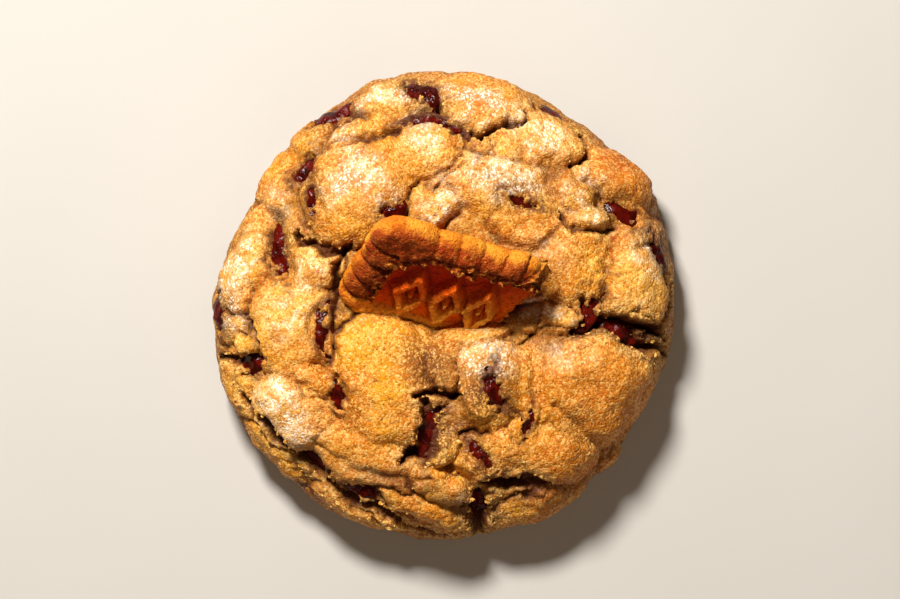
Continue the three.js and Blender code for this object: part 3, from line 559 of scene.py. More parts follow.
# spots of colour on the crust: centre x, y; half length, half width; turn; strength
crustSpots = {
    # dough browned by the chocolate beside it
    "stain": [
        (-2.8, -11.6, 6.2, 4.6, -60, 0.9), (8.4, -16.6, 6.6, 5.4, 66, 1.0),
        (15.0, 21.6, 7.0, 4.2, -15, 0.8), (33.6, 19.8, 7.0, 4.0, -15, 0.7), (42.4, 12.0, 4.8, 5.2, 0, 0.8),
        (26.4, -23.8, 5.0, 3.6, -30, 0.6), (0.8, -25.4, 5.6, 3.4, 20, 0.8),
        (-26.2, 24.2, 4.0, 6.6, 20, 0.8), (-20.4, 36.6, 6.6, 3.4, 15, 0.8),
        (-5.0, 42.0, 6.0, 3.6, -30, 0.8), (-32.4, 12.0, 3.4, 7.4, 12, 0.6),
        (-42.6, -1.0, 3.0, 5.4, 0, 0.8), (-9.8, 18.6, 4.0, 2.8, 0, 0.7), (38.2, -5.4, 8.4, 3.4, -18, 0.8),
        (8.0, -30.6, 5.0, 3.8, -45, 0.7), (7.0, -41.0, 5.4, 4.2, -60, 0.7),
        (-22.8, -3.8, 2.6, 7.0, 0, 0.5), (21.6, 37.6, 4.6, 3.0, -45, 0.7),
    ],
    # painted shade: brown-dark patches in hollows and in the biscuit's shadow, added to the crevice shading
    "shade": [
        (19.6, -37.2, 9.4, 3.0, 4, 0.6), (-10.6, -33.4, 8.6, 2.4, -20, 0.7),
        (-24.0, -30.0, 9.0, 1.8, -36, 0.4), (20.0, 6.0, 3.6, 4.6, 20, 0.35),
        (15.8, 1.4, 4.6, 1.6, 30, 0.8), (2.0, -39.4, 6.0, 2.0, -30, 0.4),
        (-32.0, -27.0, 7.0, 1.6, -44, 0.4), (24.0, 25.4, 2.4, 4.4, 25, 0.35),
    ],
    # places browned by more heat; the patches on the crown and the top right are painted shade that dims
    # their brightly lit tops
    "browningAndShadeSpots": [
        (36.4, 27.4, 8.4, 9.0, 30, 1.3), (30.6, -17.4, 15.0, 12.6, -10, 0.7),
        (24.0, -31.0, 13.0, 8.0, 8, 0.7), (-16.0, -31.0, 16.0, 7.0, -20, 0.4),
        (20.4, 6.6, 8.0, 8.0, 0, 0.45), (-22.4, 17.6, 7.6, 5.4, 20, 0.3),
        (-30.0, -36.0, 20.0, 6.0, -45, 0.5), (-6.0, -41.0, 14.0, 6.0, -22, 0.45),
        (-16.0, 27.0, 11.0, 8.0, -20, 0.75), (7.0, 40.0, 10.0, 5.0, -15, 0.75),
    ],
    # pale tops, laid where highlights fall: partly the crust's own paler colour, partly painted highlight
    "pale": [
        (-15.6, 26.6, 6.4, 4.0, -35, 0.9), (-20.4, 22.6, 4.0, 3.0, 20, 0.9),
        (-12.0, 20.6, 4.4, 2.6, 10, 0.6), (-11.0, 41.2, 7.4, 3.0, 10, 0.9),
        (-4.0, 34.0, 4.0, 5.2, 10, 0.9), (2.0, 41.2, 5.0, 3.0, 0, 0.7), (7.4, 39.0, 6.6, 4.2, -20, 0.9),
        (17.8, 33.8, 7.0, 3.8, -30, 1.0), (12.0, 25.6, 8.0, 4.6, -10, 1.0),
        (-0.4, 19.8, 5.2, 3.4, 25, 0.9), (-40.2, 6.8, 3.8, 8.4, -15, 1.0), (-41.4, -2.6, 3.0, 4.4, 0, 0.9),
        (-26.2, 6.6, 3.4, 4.4, 0, 0.7), (-32.4, -18.2, 5.2, 4.2, -35, 1.0),
        (-30.6, -22.8, 7.4, 5.4, -35, 0.85), (9.0, -10.2, 5.6, 4.6, 6, 1.0),
        (19.6, -1.6, 6.4, 2.2, -3, 0.7), (40.0, 9.4, 4.2, 5.6, 8, 0.7), (29.0, 25.4, 2.6, 4.0, 20, 0.6),
        (29.8, 17.4, 2.6, 3.4, 30, 0.7), (-20.6, 33.2, 4.4, 2.8, 28, 0.7),
        (-32.4, 19.6, 3.4, 4.2, 20, 0.6), (24.0, -9.6, 6.0, 3.0, -10, 0.5),
        (-15.0, -33.0, 6.0, 2.2, -20, 0.3), (4.0, -38.8, 6.0, 2.2, -26, 0.4),
        (20.0, 11.0, 5.0, 4.0, -30, 0.4), (25.0, 21.0, 3.0, 4.0, 20, 0.6), (1.0, 25.6, 4.0, 3.0, 20, 0.6),
        (37.6, 2.4, 4.8, 5.4, 8, 0.3), (-30.6, -1.6, 6.0, 6.0, 0, 0.5),
    ],
}


def openPits(lift, base, u0, v0, strayU, strayV, crumbs):
    # a ragged pit over each chunk, so that the dough's own lip closes round it
    pitU, pitV = u0 + addedNoise(base, doughLook["pitStrayU"]), v0 + addedNoise(base, doughLook["pitStrayV"])
    lip = 0.4 * puffs(base, 2.2, 18) + 0.22 * puffs(base, 0.9, 19)
    smear = np.zeros(len(lift))
    for number, chunk in enumerate(chunks, start=1):
        spot = (*chunk[:4], *chunk[5:7])
        top = chunkTop(chunk) - doughLook["chunkSink"]
        if number in filmed:
            away = chunkDistance(spot, u0 + 0.3 * strayU, v0 + 0.3 * strayV)
            over = np.clip((doughLook["filmReach"] - away) / 0.3, 0, 1)
            lift = lift + np.maximum(top + doughLook["film"] + 0.15 * crumbs - lift, 0) * over
        seen = shownAs.get(number, spot)
        halfWidth = seen[3]
        away = chunkDistance(seen, pitU, pitV) + lip
        hole = np.clip((1.0 - away) * halfWidth / doughLook["pitWall"], 0, 1)
        lift = lift * (1 - hole) + np.minimum(lift, top - doughLook["pit"]) * hole
        beside = np.clip(1 - (away - 1) * halfWidth / doughLook["smearReach"], 0, 1)
        smear = np.maximum(smear, beside ** 1.5)
    return lift, smear


def drawnFromBiscuit(points, base):
    # 1 where the dough has drawn back from the biscuit and left a narrow open gap
    along, across, front = onBiscuit(points).T
    outside = np.maximum(np.abs(front) - biscuit["thickness"] / 2, np.abs(across) - biscuit["width"] / 2)
    outside = np.maximum(outside, -biscuit["topLength"] / 2 - along)
    outside = np.where(along > biscuit["topLength"] / 2 + 2, 9, outside)
    patchy = np.clip(0.75 + 1.2 * softNoise(base, 7.0, 17), 0, 1)
    return patchy * np.exp(-(np.maximum(outside, 0) / doughLook["gapWidth"]) ** 2)


def buildDough(material):
    bm = bmesh.new()
    bmesh.ops.create_icosphere(bm, subdivisions=6, radius=1)
    bmesh.ops.subdivide_edges(bm, edges=bm.edges[:], cuts=2, use_grid_fill=True)
    for vertex in bm.verts:
        vertex.co.normalize()
    piece = meshPiece("doughBody", bm, material, ["cookie"])
    mesh = piece.data
    ball = readPoints(mesh)

    # the ball down to its foot is laid on the dome, and the rest on the flat underside
    angle = np.arctan2(ball[:, 1], ball[:, 0])
    chord = np.sqrt(np.clip((1 - ball[:, 2]) / 2, 0, 1))
    foot = dough["footShare"]
    chord = np.where(np.abs(chord - foot) < 0.0022, foot, chord)
    above = chord < foot
    arc = np.minimum(footArc * chord / foot, footArc)
    u0, v0 = arc * np.cos(angle), arc * np.sin(angle)
    base = onDome(u0, v0, 0 * arc)
    u, v = wander(u0, v0)
    strayU, strayV = addedNoise(base, doughLook["strayU"]), addedNoise(base, doughLook["strayV"])
    uTorn, vTorn = u + doughLook["tornEdge"] * strayU, v + doughLook["tornEdge"] * strayV

    # lobes, cracks and the creases between lobes
    calm = rimCalm(u0, v0)
    lobeTop = lobeHeight(uTorn, vTorn, doughLook["blend"], doughLook["squarer"])
    soft = {name: crack for name, crack in cracks.items() if name in softCracks}
    torn = {name: crack for name, crack in cracks.items() if name not in softCracks}
    depth = crackDepth(torn, uTorn, vTorn, doughLook["crackWiden"], doughLook["crackSteep"])
    depth += doughLook["core"] * crackDepth(torn, uTorn, vTorn, doughLook["coreWiden"])
    valley = doughLook["valley"] * crackDepth(soft, u, v, doughLook["valleyWiden"])
    fine = crackDepth(fineCracks, u + doughLook["fineStray"] * strayU, v + doughLook["fineStray"] * strayV)
    seat = ovalHollow(dough["seat"], u0, v0) + ovalHollow(doughLook["dip"], u0, v0)
    seat *= 1 - doughLook["frontRise"] * np.clip(onBiscuit(base)[:, 2] / 3, 0, 1)
    patchy = np.clip(0.35 + 1.3 * softNoise(base, 9.0, 13), 0.05, 1)
    crease = np.exp(-(lobeGap(uTorn, vTorn) / doughLook["creaseWidth"]) ** 2) * patchy
    smooth = (lobeTop - depth - valley - seat - doughLook["crease"] * crease) * calm

    # crumbly near a crack or a fold, smoother on the lobes
    nearCrack = np.clip(crackDepth(torn, u, v, 2.2) / 2.2, 0, 1)
    inFold = np.clip((1.5 - lobeTop) / 1.3, 0, 1)
    crumbly = np.clip(0.22 + 0.7 * nearCrack + 0.25 * inFold, 0, 1)
    side = np.clip((arc - doughLook["sideFrom"]) / doughLook["sideWidth"], 0, 1)
    lumps = puffs(base, doughLook["lumpSize"], 5) * 0.85
    lumps += addedNoise(base, ((3.8, 6, 0.9), (1.8, 16, 0.55)))
    crumbs = puffs(base, doughLook["crumbSize"], 7) * 0.6 + puffs(base, 1.0, 8) * 0.4
    pits = np.clip(softNoise(base, doughLook["pitSize"], 9) - 0.38, 0, 1)
    sideLumps = softNoise(base * np.array((1, 1, 1.8)), doughLook["sideLumpSize"], 11)
    sideLumps += 0.5 * softNoise(base, 3.4, 12)
    lift = smooth - fine * calm
    lift += doughLook["lumps"] * lumps * (1 - 0.5 * side)
    lift += doughLook["crumble"] * crumbs * crumbly
    lift -= doughLook["pits"] * pits * crumbly
    lift += doughLook["grain"] * softNoise(base, doughLook["grainSize"], 10)
    lift += doughLook["sideLumps"] * sideLumps * side

    lift, smear = openPits(lift, base, u0, v0, strayU, strayV, crumbs)
    drawnBack = drawnFromBiscuit(onDome(u0, v0, lift), base)
    lift -= doughLook["biscuitGap"] * drawnBack
    fade = np.clip((footArc - arc) / 4, 0, 1)
    points = onDome(u0, v0, lift * fade)

    share = np.sqrt(np.clip((1 - chord ** 2) / (1 - foot ** 2), 0, 1))
    r = footRadius * outlineRadius(angle) / dough["radius"] * share
    under = np.stack([r * np.cos(angle), r * np.sin(angle), np.zeros(len(r))], axis=-1)
    points = np.where(above[:, None], points, under)
    points[:, 2] = np.maximum(points[:, 2], 0)
    placed = np.clip(inPlace(points), np.array(cookieLow), np.array(cookieHigh))
    writePoints(mesh, placed)

    # what the crust's colours read
    # painted shade: the colour darkens in cracks, folds, creases between lobes, the gap beside the biscuit
    # and the shade spots
    dark = np.clip((depth - 0.3) / 1.6, 0, 1) + 0.28 * inFold + 0.7 * np.clip(fine, 0, 1)
    dark += 0.95 * crease * (calm > 0.62) + 0.6 * drawnBack
    for spot in crustSpots["shade"]:
        dark += spot[5] * np.exp(-ovalDistance(spot, uTorn, vTorn) ** 2)
    addValue(mesh, "creviceShade", np.clip(dark, 0, 1))
    addValue(mesh, "torn", np.clip(nearCrack + 0.5 * inFold - 1.3 * dark, 0, 1))
    addValue(mesh, "side", side)
    addValue(mesh, "smear", smear)
    for name in ("stain", "browningAndShadeSpots", "pale"):
        strength = np.zeros(len(r))
        for spot in crustSpots[name]:
            strength = np.maximum(strength, spot[5] * np.exp(-ovalDistance(spot, u, v) ** 2.4))
        addValue(mesh, name, strength)
    crumbChance = (np.clip(nearCrack + 0.3 * inFold - dark, 0, 1) + 0.003) * above * (arc < 46)
    return placed, crumbChance


# chocolate: each chunk made again over its solid, softened as if melted and set

chunkLook = {
    "uneven": 0.10, "melted": 0.06, "flatTop": 0.6, "widerBy": (0.5, 0.6), "dents": 0.8, "nicks": 0.35,
}


def buildChunk(number, chunk, material):
    x, y, halfLength, halfWidth, halfDepth, turn, bend, _ = chunk
    cu, cv, cos, sin = unrolledSpot(x, y, turn)
    top = chunkTop(chunk) - doughLook["chunkSink"]
    bm = bmesh.new()
    bmesh.ops.create_icosphere(bm, subdivisions=5, radius=1)
    piece = meshPiece("chunk_%02d" % number, bm, material, ["chocolate_%02d" % number])
    ball = readPoints(piece.data)
    a, b, c = ball.T
    uneven = 1 + chunkLook["uneven"] * np.sin(3.1 * a + 2.3 * b + x) * np.cos(2.7 * c - 1.9 * b + y)
    uneven = uneven * (1 + chunkLook["melted"] * softNoise(ball * 3, 1.6, number))
    along = a * (halfLength + chunkLook["widerBy"][0]) * uneven
    across = b * (halfWidth + chunkLook["widerBy"][1]) * uneven + bend * (a * a - 0.35)
    spread = np.stack([along, across, c * halfDepth], axis=-1)
    dent = chunkLook["dents"] * softNoise(spread, 2.6, number + 0.3)
    dent -= chunkLook["nicks"] * np.abs(softNoise(spread, 1.5, number + 0.6))
    rise = halfDepth * np.sign(c) * np.abs(c) ** chunkLook["flatTop"] + dent * (c > 0)
    points = onDome(cu + along * cos - across * sin, cv + along * sin + across * cos, top - halfDepth + rise)
    writePoints(piece.data, inPlace(points))


# biscuit half: a ball pressed into a thick plate, fluted, with its panel sunk and its end broken

def biscuitOutline(angle):
    # distance from the middle to the plain outline in each direction, and where it is the break
    half = biscuit["width"] / 2
    left = -biscuit["topLength"] / 2
    corner = biscuit["corner"]
    dx, dy = np.cos(angle), np.sin(angle)
    reach = np.full(len(angle), 1e9)
    with np.errstate(divide="ignore", invalid="ignore"):
        reach = np.minimum(reach, np.where(dy > 1e-9, half / dy, 1e9))
        reach = np.minimum(reach, np.where(dy < -1e-9, -half / dy, 1e9))
        reach = np.minimum(reach, np.where(dx < -1e-9, left / dx, 1e9))
    for side in (1, -1):
        cx, cy = left + corner, side * (half - corner)
        along = cx * dx + cy * dy
        off = cx * cx + cy * cy - along * along
        hit = along + np.sqrt(np.maximum(corner * corner - off, 0))
        inCorner = (off < corner * corner) & (hit * dx < cx) & (hit * dy * side > cy * side)
        reach = np.where(inCorner, hit, reach)
    # the break runs from the low edge's end to the top edge's end
    low = np.array((left + biscuit["lowLength"], -half))
    high = np.array((left + biscuit["topLength"], half))
    edge = high - low
    cross = dx * edge[1] - dy * edge[0]
    toBreak = (low[0] * edge[1] - low[1] * edge[0]) / np.where(np.abs(cross) < 1e-9, 1e-9, cross)
    broken = (toBreak > 0) & (toBreak < reach)
    reach = np.where(broken, toBreak, reach)
    # the broken tip is worn blunt
    tip = math.atan2(high[1], high[0])
    reach = reach - biscuit["tipRound"] * np.exp(-((angle - tip) / 0.11) ** 2)
    return reach, broken


def lowEdgeRun(x, y):
    # length along the fluted edge to a place by the left end or the low edge
    half = biscuit["width"] / 2
    left = -biscuit["topLength"] / 2
    corner = biscuit["corner"]
    quarter = corner * math.pi / 2
    beforeEnd = biscuit["topLength"] - corner + quarter
    afterEnd = beforeEnd + 2 * (half - corner)
    angle = np.arctan2(y - np.sign(y) * (half - corner), x - (left + corner))
    angle = np.where(angle < 0, angle + 2 * math.pi, angle)
    run = beforeEnd + (half - corner - y)
    run = np.where((x < left + corner) & (y < corner - half), afterEnd + corner * (angle - math.pi), run)
    return np.where((x >= left + corner) & (y <= 0), afterEnd + quarter + (x - left - corner), run)


def fluteTops(x, y, shape):
    # 0 in the valleys between flutes and 1 on top of them, and whether a place is by the left end
    slide = 0.5 * softNoise(shape, 4.0, 28)
    byEnd = (x + biscuit["topLength"] / 2 < biscuit["width"] / 2 - np.abs(y)) & (y < biscuit["endReach"])
    toValley = np.full(len(x), 99.0)
    for place in biscuit["topValleys"]:
        toValley = np.where(~byEnd & (y > 0), np.minimum(toValley, np.abs(x + slide - place)), toValley)
    for place in biscuit["endValleys"]:
        toValley = np.where(byEnd, np.minimum(toValley, np.abs(y + slide - place)), toValley)
    even = np.abs(((lowEdgeRun(x, y) / biscuit["rib"]) % 1) - 0.5) * biscuit["rib"]
    toValley = np.where(~byEnd & (y <= 0), even, toValley)
    return np.sqrt(1 - (1 - np.clip(toValley / (biscuit["rib"] / 2), 0, 1)) ** 2), byEnd


def fromWholeSides(x, y):
    # distance to the nearest whole side, with a round inner corner, and to the low side alone
    toTop, toLow = biscuit["width"] / 2 - y, biscuit["width"] / 2 + y
    toEnd = x + biscuit["topLength"] / 2 - biscuit["endBorder"]
    inside = np.minimum(np.minimum(toTop, toLow + biscuit["border"] - biscuit["lowBorder"]), toEnd)
    corner = biscuit["innerCorner"]
    nearTop, nearEnd = np.minimum(toTop, corner), np.minimum(toEnd, corner)
    return np.minimum(inside, corner - np.hypot(corner - nearTop, corner - nearEnd)), toLow


def raisedLozenges(x, y, shape):
    # how high each place of the pattern stands, and the shade beside its lines
    height, shade = np.zeros(len(x)), np.zeros(len(x))
    halfLength, halfWidth = biscuit["lozengeHalf"]
    for k in range(biscuit["lozenges"]):
        middle = biscuit["firstLozenge"] + biscuit["lozengeStep"] * k - biscuit["topLength"] / 2
        d = np.abs(x - middle) / halfLength + np.abs(y + 3.0) / halfWidth + 0.1 * softNoise(shape, 1.6, 35)
        height = np.maximum(height, np.clip((0.36 - np.abs(d - 0.8)) / 0.2, 0, 1))
        height = np.maximum(height, np.clip((0.26 - d) / 0.14, 0, 1))
        shade = np.maximum(shade, np.clip(1 - np.abs(d - 0.38) / 0.14, 0, 1))
        shade = np.maximum(shade, 0.55 * np.clip(1 - np.abs(d - 1.3) / 0.2, 0, 1))
    return height, shade


def buildBiscuit(material):
    bm = bmesh.new()
    bmesh.ops.create_icosphere(bm, subdivisions=7, radius=1)
    piece = meshPiece("biscuitHalf", bm, material, ["biscuit_piece"])
    mesh = piece.data
    ball = readPoints(mesh)
    angle = np.arctan2(ball[:, 1], ball[:, 0])
    polar = np.arccos(np.clip(ball[:, 2], -1, 1)) / math.pi     # 0 front, 0.5 rim, 1 back
    reach, broken = biscuitOutline(angle)
    half = biscuit["thickness"] / 2

    # section: face, rolled edge, back; faceShare is the share of the ball's turn that a face takes
    faceShare = 0.40
    toRim = np.clip(np.minimum(polar, 1 - polar) / faceShare, 0, 1)
    rim = np.clip((polar - faceShare) / (1 - 2 * faceShare), 0, 1)
    onRim = (rim > 0) & (rim < 1)
    facing = polar < 0.5
    brokenRim = broken & (rim > 0)
    roll = np.where(broken, biscuit["brokenRoll"], biscuit["edgeRoll"])
    turn = (rim - 0.5) * math.pi
    out = np.abs(np.cos(turn)) ** 0.9
    rise = -np.sign(turn) * np.abs(np.sin(turn)) ** np.where(broken, 0.25, 0.9)
    radial = np.where(onRim, reach - roll + roll * out, (reach - roll) * toRim ** 0.82)
    z = np.where(onRim, half * rise, np.where(facing, half, -half))
    x, y = radial * np.cos(angle), radial * np.sin(angle)
    plain = np.stack([x, y, z], axis=-1)

    wave, byEnd = fluteTops(x, y, plain)
    inside, toLow = fromWholeSides(x, y)
    onBorder = 1 / (1 + np.exp((inside - biscuit["border"]) / biscuit["borderEdge"]))
    onFront = np.clip(z / 0.9, 0, 1)
    inward = reach - radial     # rough distance from the edge

    # flutes: they swell outwards and run over the border on the front
    towardsRim = ~broken * np.clip(rim * 5, 0, 1)
    fatness = 1 + 0.6 * softNoise(plain, 8.0, 29)
    swell = biscuit["ribDepth"] * wave * out * fatness * (~broken & onRim)
    bulge = np.sqrt(np.clip(1 - ((x - biscuit["bulgeAt"]) / biscuit["bulgeHalf"]) ** 2, 0, 1)) * (y > 6)
    swell += biscuit["cornerBulge"] * bulge * towardsRim
    swell -= biscuit["thinBy"] * (x > biscuit["thinFrom"]) * (y > 0) * towardsRim
    uneven = softNoise(plain * np.array((1, 1, 0.3)), 9.0, 30)
    swell += biscuit["scallop"] * uneven * ~broken * np.clip(rim * 4, 0, 1)
    radial = radial + swell
    groove = biscuit["ribGroove"] * (1 - wave) * onBorder * onFront * np.exp(-(inward / 2.4) ** 2)
    slot = byEnd * (1 - wave) ** 1.5 * onBorder * onFront * np.clip(inward / 1.5, 0, 1)
    groove += biscuit["slotDepth"] * slot

    # the border is a round bead, the panel lies lower, and both show at the break
    bead = np.clip(inside / biscuit["border"], 0, 1)
    crown = (0.35 * wave - 0.9 * bead ** 3 - 0.7 * np.clip(1 - 2.2 * bead, 0, 1)) * onBorder * onFront
    sunk = biscuit["panelDepth"] * (1 - onBorder) * facing * (rim <= 0)
    stepAtBreak = biscuit["panelDepth"] * brokenRim * (inside > biscuit["border"]) * (z > 0)
    lozenge, lozengeShade = raisedLozenges(x, y, plain)
    z = z + crown - groove - sunk - stepAtBreak * (z / half)
    z = z + biscuit["lozengeRise"] * lozenge * facing * (rim <= 0) * (1 - onBorder)
    x, y = radial * np.cos(angle), radial * np.sin(angle)
    lengthShare = np.clip(x / biscuit["topLength"] + 0.5, 0, 1)
    x = x - biscuit["breakSlant"] * z * lengthShare ** 4
    points = np.stack([x, y, z], axis=-1)

    # torn crumb on the broken side and at the border's inner line, fine crumb everywhere
    clearFront = (z > 0) * (toLow > biscuit["plainLow"])
    line = np.exp(-((inside - biscuit["border"] + 0.2) / 0.8) ** 2) * clearFront
    points[:, 2] += biscuit["lineLumps"] * line * (0.3 + puffs(points, 2.2, 31))
    innerBorder = np.clip((inside - 1.6) / 2.0, 0, 1) * onBorder * clearFront
    bits = puffs(points, 1.7, 32)
    points[:, 2] += biscuit["innerLumps"] * bits * innerBorder
    rough = biscuit["crumb"] * (0.45 + 2.2 * brokenRim + 1.6 * line + 0.5 * innerBorder)
    shake = [softNoise(points, size, seed) for size, seed in ((0.9, 21), (0.9, 22), (0.8, 23))]
    shake = np.stack(shake, axis=-1) + 0.5 * softNoise(points, 0.5, 24)[:, None]
    bulges = 0.35 * softNoise(points, 4.2, 26) + 0.3 * softNoise(points, 1.8, 27)
    points[:, 2] += bulges * np.clip(z, -0.4, 1)
    points = points + shake * rough[:, None]
    points[:, 0] += 0.5 * softNoise(points, 3.0, 25) * brokenRim

    placed = inPlace(points @ np.array(biscuitFrame()).T + np.array(biscuit["centre"]))
    boxLow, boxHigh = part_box("biscuit_piece")
    writePoints(mesh, np.clip(placed, np.array(boxLow), np.array(boxHigh)))

    # what the biscuit's colours read
    lip = np.clip(biscuit["plainLow"] - toLow, 0, 1) * onBorder * np.clip(z, 0, 1)
    # painted shade in the crumb's hollows, the slots between the end flutes and beside the lozenges' lines
    shaded = 1.6 * innerBorder * (0.1 - bits) + slot + lozengeShade * (1 - onBorder) * facing
    # painted shade: the front half of the rolled edge and the border towards its inner line are darker and
    # redder, as where the light turns away
    frontHalf = 0.92 * np.clip((plain[:, 2] - 0.6 + 1.4 * softNoise(plain, 2.6, 34)) / 1.5, 0, 1)
    towardsLine = np.maximum(np.clip((inside - 0.6) / 2.4, 0, 1), frontHalf)
    addValue(mesh, "panel", (1 - onBorder) * facing)
    # lighter-baked raised tops and the low border's lip, brightened further as painted light
    addValue(mesh, "raised", np.maximum(lozenge, 0.85 * lip) * facing)
    addValue(mesh, "torn", np.clip(brokenRim + 0.9 * line + innerBorder * (1.4 * bits - 0.35), 0, 1))
    addValue(mesh, "pit", np.clip(shaded, 0, 1))
    addValue(mesh, "ribTop", wave)
    # painted bounce light: panel and lozenges grow brighter and more orange towards the lower right
    addValue(mesh, "paintedBounceGlow", np.clip(0.15 + 0.055 * x - 0.11 * y, 0, 1))
    addValue(mesh, "frontShade", towardsLine * (ball[:, 2] > 0) * (toLow > biscuit["plainLow"]) * onBorder)


# crumbs: one joined mesh of small broken balls, thickest along the torn edges

crumbLook = {"count": 1000, "small": 0.35, "large": 1.2, "sunk": 0.6, "seed": 7}


def buildCrumbs(surface, chance, material):
    draw = np.random.RandomState(crumbLook["seed"])
    where = draw.choice(len(surface), crumbLook["count"], p=chance / chance.sum())
    bm = bmesh.new()
    for index in where:
        size = crumbLook["small"] + (crumbLook["large"] - crumbLook["small"]) * draw.rand() ** 3
        place = Vector(surface[index]) - Vector((0, 0, crumbLook["sunk"] * size * mm * 0.5))
        stretch = draw.uniform((0.6, 0.6, 0.5), (1.4, 1.4, 0.9))
        made = bmesh.ops.create_icosphere(bm, subdivisions=1, radius=size * mm / 2)["verts"]
        for vertex in made:
            shift = 0.5 + 0.9 * draw.rand()
            vertex.co = Vector(a * b * shift for a, b in zip(vertex.co, stretch)) + place
    piece = meshPiece("tornCrumbs", bm, material, smooth=False)
    addValue(piece.data, "torn", np.full(len(piece.data.vertices), 0.8))


# crust: its ground and the layers over it, and its grains in mm

crust = {
    "ground": "#c87004", "warmer": "#e0940e", "paleTopAndHighlight": "#f2cc8c", "browningAndShade": "#b85604", "sideBrownAndShade": "#8c4406",
    "tornEdge": "#e8bd72", "lightSand": ("#fbd076", "#fff4e2", "highlightWhite"),
    "paintedGlints": ("#fbd076", "#fff4e2", "highlightWhite"), "darkSugar": ("#924c06", "#d0903c", "paleTopAndHighlight"),
    "darkSand": ("#924c06", "#d0903c", "paleTopAndHighlight"), "freckles": "#c4520a", "stained": "#6a3c14",
    "smeared": "#4e1c0a", "paintedCreviceShade": "#481704",
}
crustGrain = {"sand": 0.5, "sugar": 0.34, "warp": 1.1, "warpBy": 0.5, "bumpDepth": 0.2}


def bakedDough():
    # soft wheat crust, baked: matt golden ground, sandy sugar grain, a buttery half gloss
    material, tree = newMaterial("bakedDoughCrust")
    value = surfaceValues(tree, ("creviceShade", "stain", "browningAndShadeSpots", "pale", "side", "smear", "torn"), {
        "broad": (9.0, 3.0, 0.55), "middle": (2.4, 3.0, 0.6), "freckle": (1.3, 1.0, 0.5)})

    # grains of sand and sugar: cells bent so that no two are alike, each with its own value
    warp = addNode(tree, "ShaderNodeTexNoise", None, {
        "Vector": value["place"], "Scale": 1000 / crustGrain["warp"], "Detail": 1.0})
    bent = addNode(tree, "ShaderNodeVectorMath", {"operation": "MULTIPLY_ADD"}, {
        0: warp.outputs["Color"], 1: (crustGrain["warpBy"] * mm,) * 3, 2: value["place"]})
    height = addNode(tree, "ShaderNodeMath", {"operation": "MULTIPLY"}, {0: value["middle"], 1: 0.9})
    for name, channel, drop in (("sand", 0, -1.0), ("sugar", 1, -0.5)):
        cells = addNode(tree, "ShaderNodeTexVoronoi", None, {
            "Vector": bent.outputs[0], "Scale": 1000 / crustGrain[name]})
        parts = addNode(tree, "ShaderNodeSeparateColor", None, {"Color": cells.outputs["Color"]})
        value[name] = parts.outputs[channel]
        height = addNode(tree, "ShaderNodeMath", {"operation": "MULTIPLY_ADD"}, {
            0: cells.outputs["Distance"], 1: drop, 2: height.outputs[0]})

    deriveValues(tree, value, {
        "warmer": ("broad", 0.38, 0.64, 0, 1),
        "palePatches": ("middle", 0.36, 0.6, 0.2, 1),
        # paler crust and painted highlight on the tops
        "paleTopAndHighlight": ("pale", "palePatches"),
        "toastPatches": ("broad", 0.4, 0.6, 0.15, 1),
        # browned crust, and painted shade on the crown and the top right
        "browningAndShade": ("browningAndShadeSpots", "toastPatches"),
        # the side is darker brown: partly browned crust, partly painted shade
        "sideBrownAndShade": ("side", 0.65),
        "tornGrains": ("sand", 0.2, 0.7, 0.1, 0.7),
        "tornEdge": ("torn", "tornGrains"),
        "lightSand": ("sand", 0.5, 0.9, 0, 0.38),
        # painted highlight: light grains turn white on the pale tops
        "highlightWhite": ("paleTopAndHighlight", 0.1, 0.7, 0, 1),
        # painted sugar glints: white highlight specks painted into the colour, more of them on the pale tops,
        # fewer on bare browned crust
        "sugarTips": ("sugar", 0.68, 0.92, 0, 1),
        "moreOnPale": ("paleTopAndHighlight", 0.0, 0.8, 0.5, 1),
        "sugared": ("sugarTips", "moreOnPale"),
        "notPale": ("paleTopAndHighlight", 0.0, 0.5, 1, 0),
        "bare": ("browningAndShadeSpots", "notPale"),
        "fewerOnBare": ("bare", 0.1, 1, 1, 0.35),
        "paintedGlints": ("sugared", "fewerOnBare"),
        "darkSugar": ("sugar", 0.3, 0.05, 0, 0.48),
        "darkSand": ("sand", 0.18, 0.02, 0, 0.5),
        "freckles": ("freckle", 0.68, 0.76, 0, 0.6),
        "stainGrains": ("sugar", 0.85, 0.4, 0.3, 1),
        "stained": ("stain", "stainGrains"),
        "smearPatches": ("middle", 0.4, 0.58, 0.1, 0.85),
        "smeared": ("smear", "smearPatches"),
        # painted shade in cracks, folds, creases and hollows
        "paintedCreviceShade": ("creviceShade", 0.92),
        "roughness": ("sugar", 0.82, 0.92, 0.7, 0.34),
    })
    finishMaterial(tree, {
        "Base Color": layColours(tree, value, crust), "Roughness": value["roughness"],
        "IOR": 1.45, "Specular IOR Level": 0.3, "Coat Weight": 0.06, "Coat Roughness": 0.3,
        "Subsurface Weight": 0.12, "Subsurface Radius": (0.0022, 0.0012, 0.0005), "Subsurface Scale": 1.0,
    }, height, 0.85, crustGrain["bumpDepth"])
    return material


chocolate = {"ground": "#300401", "clouded": "#580a03", "bloomed": "#7c2410"}


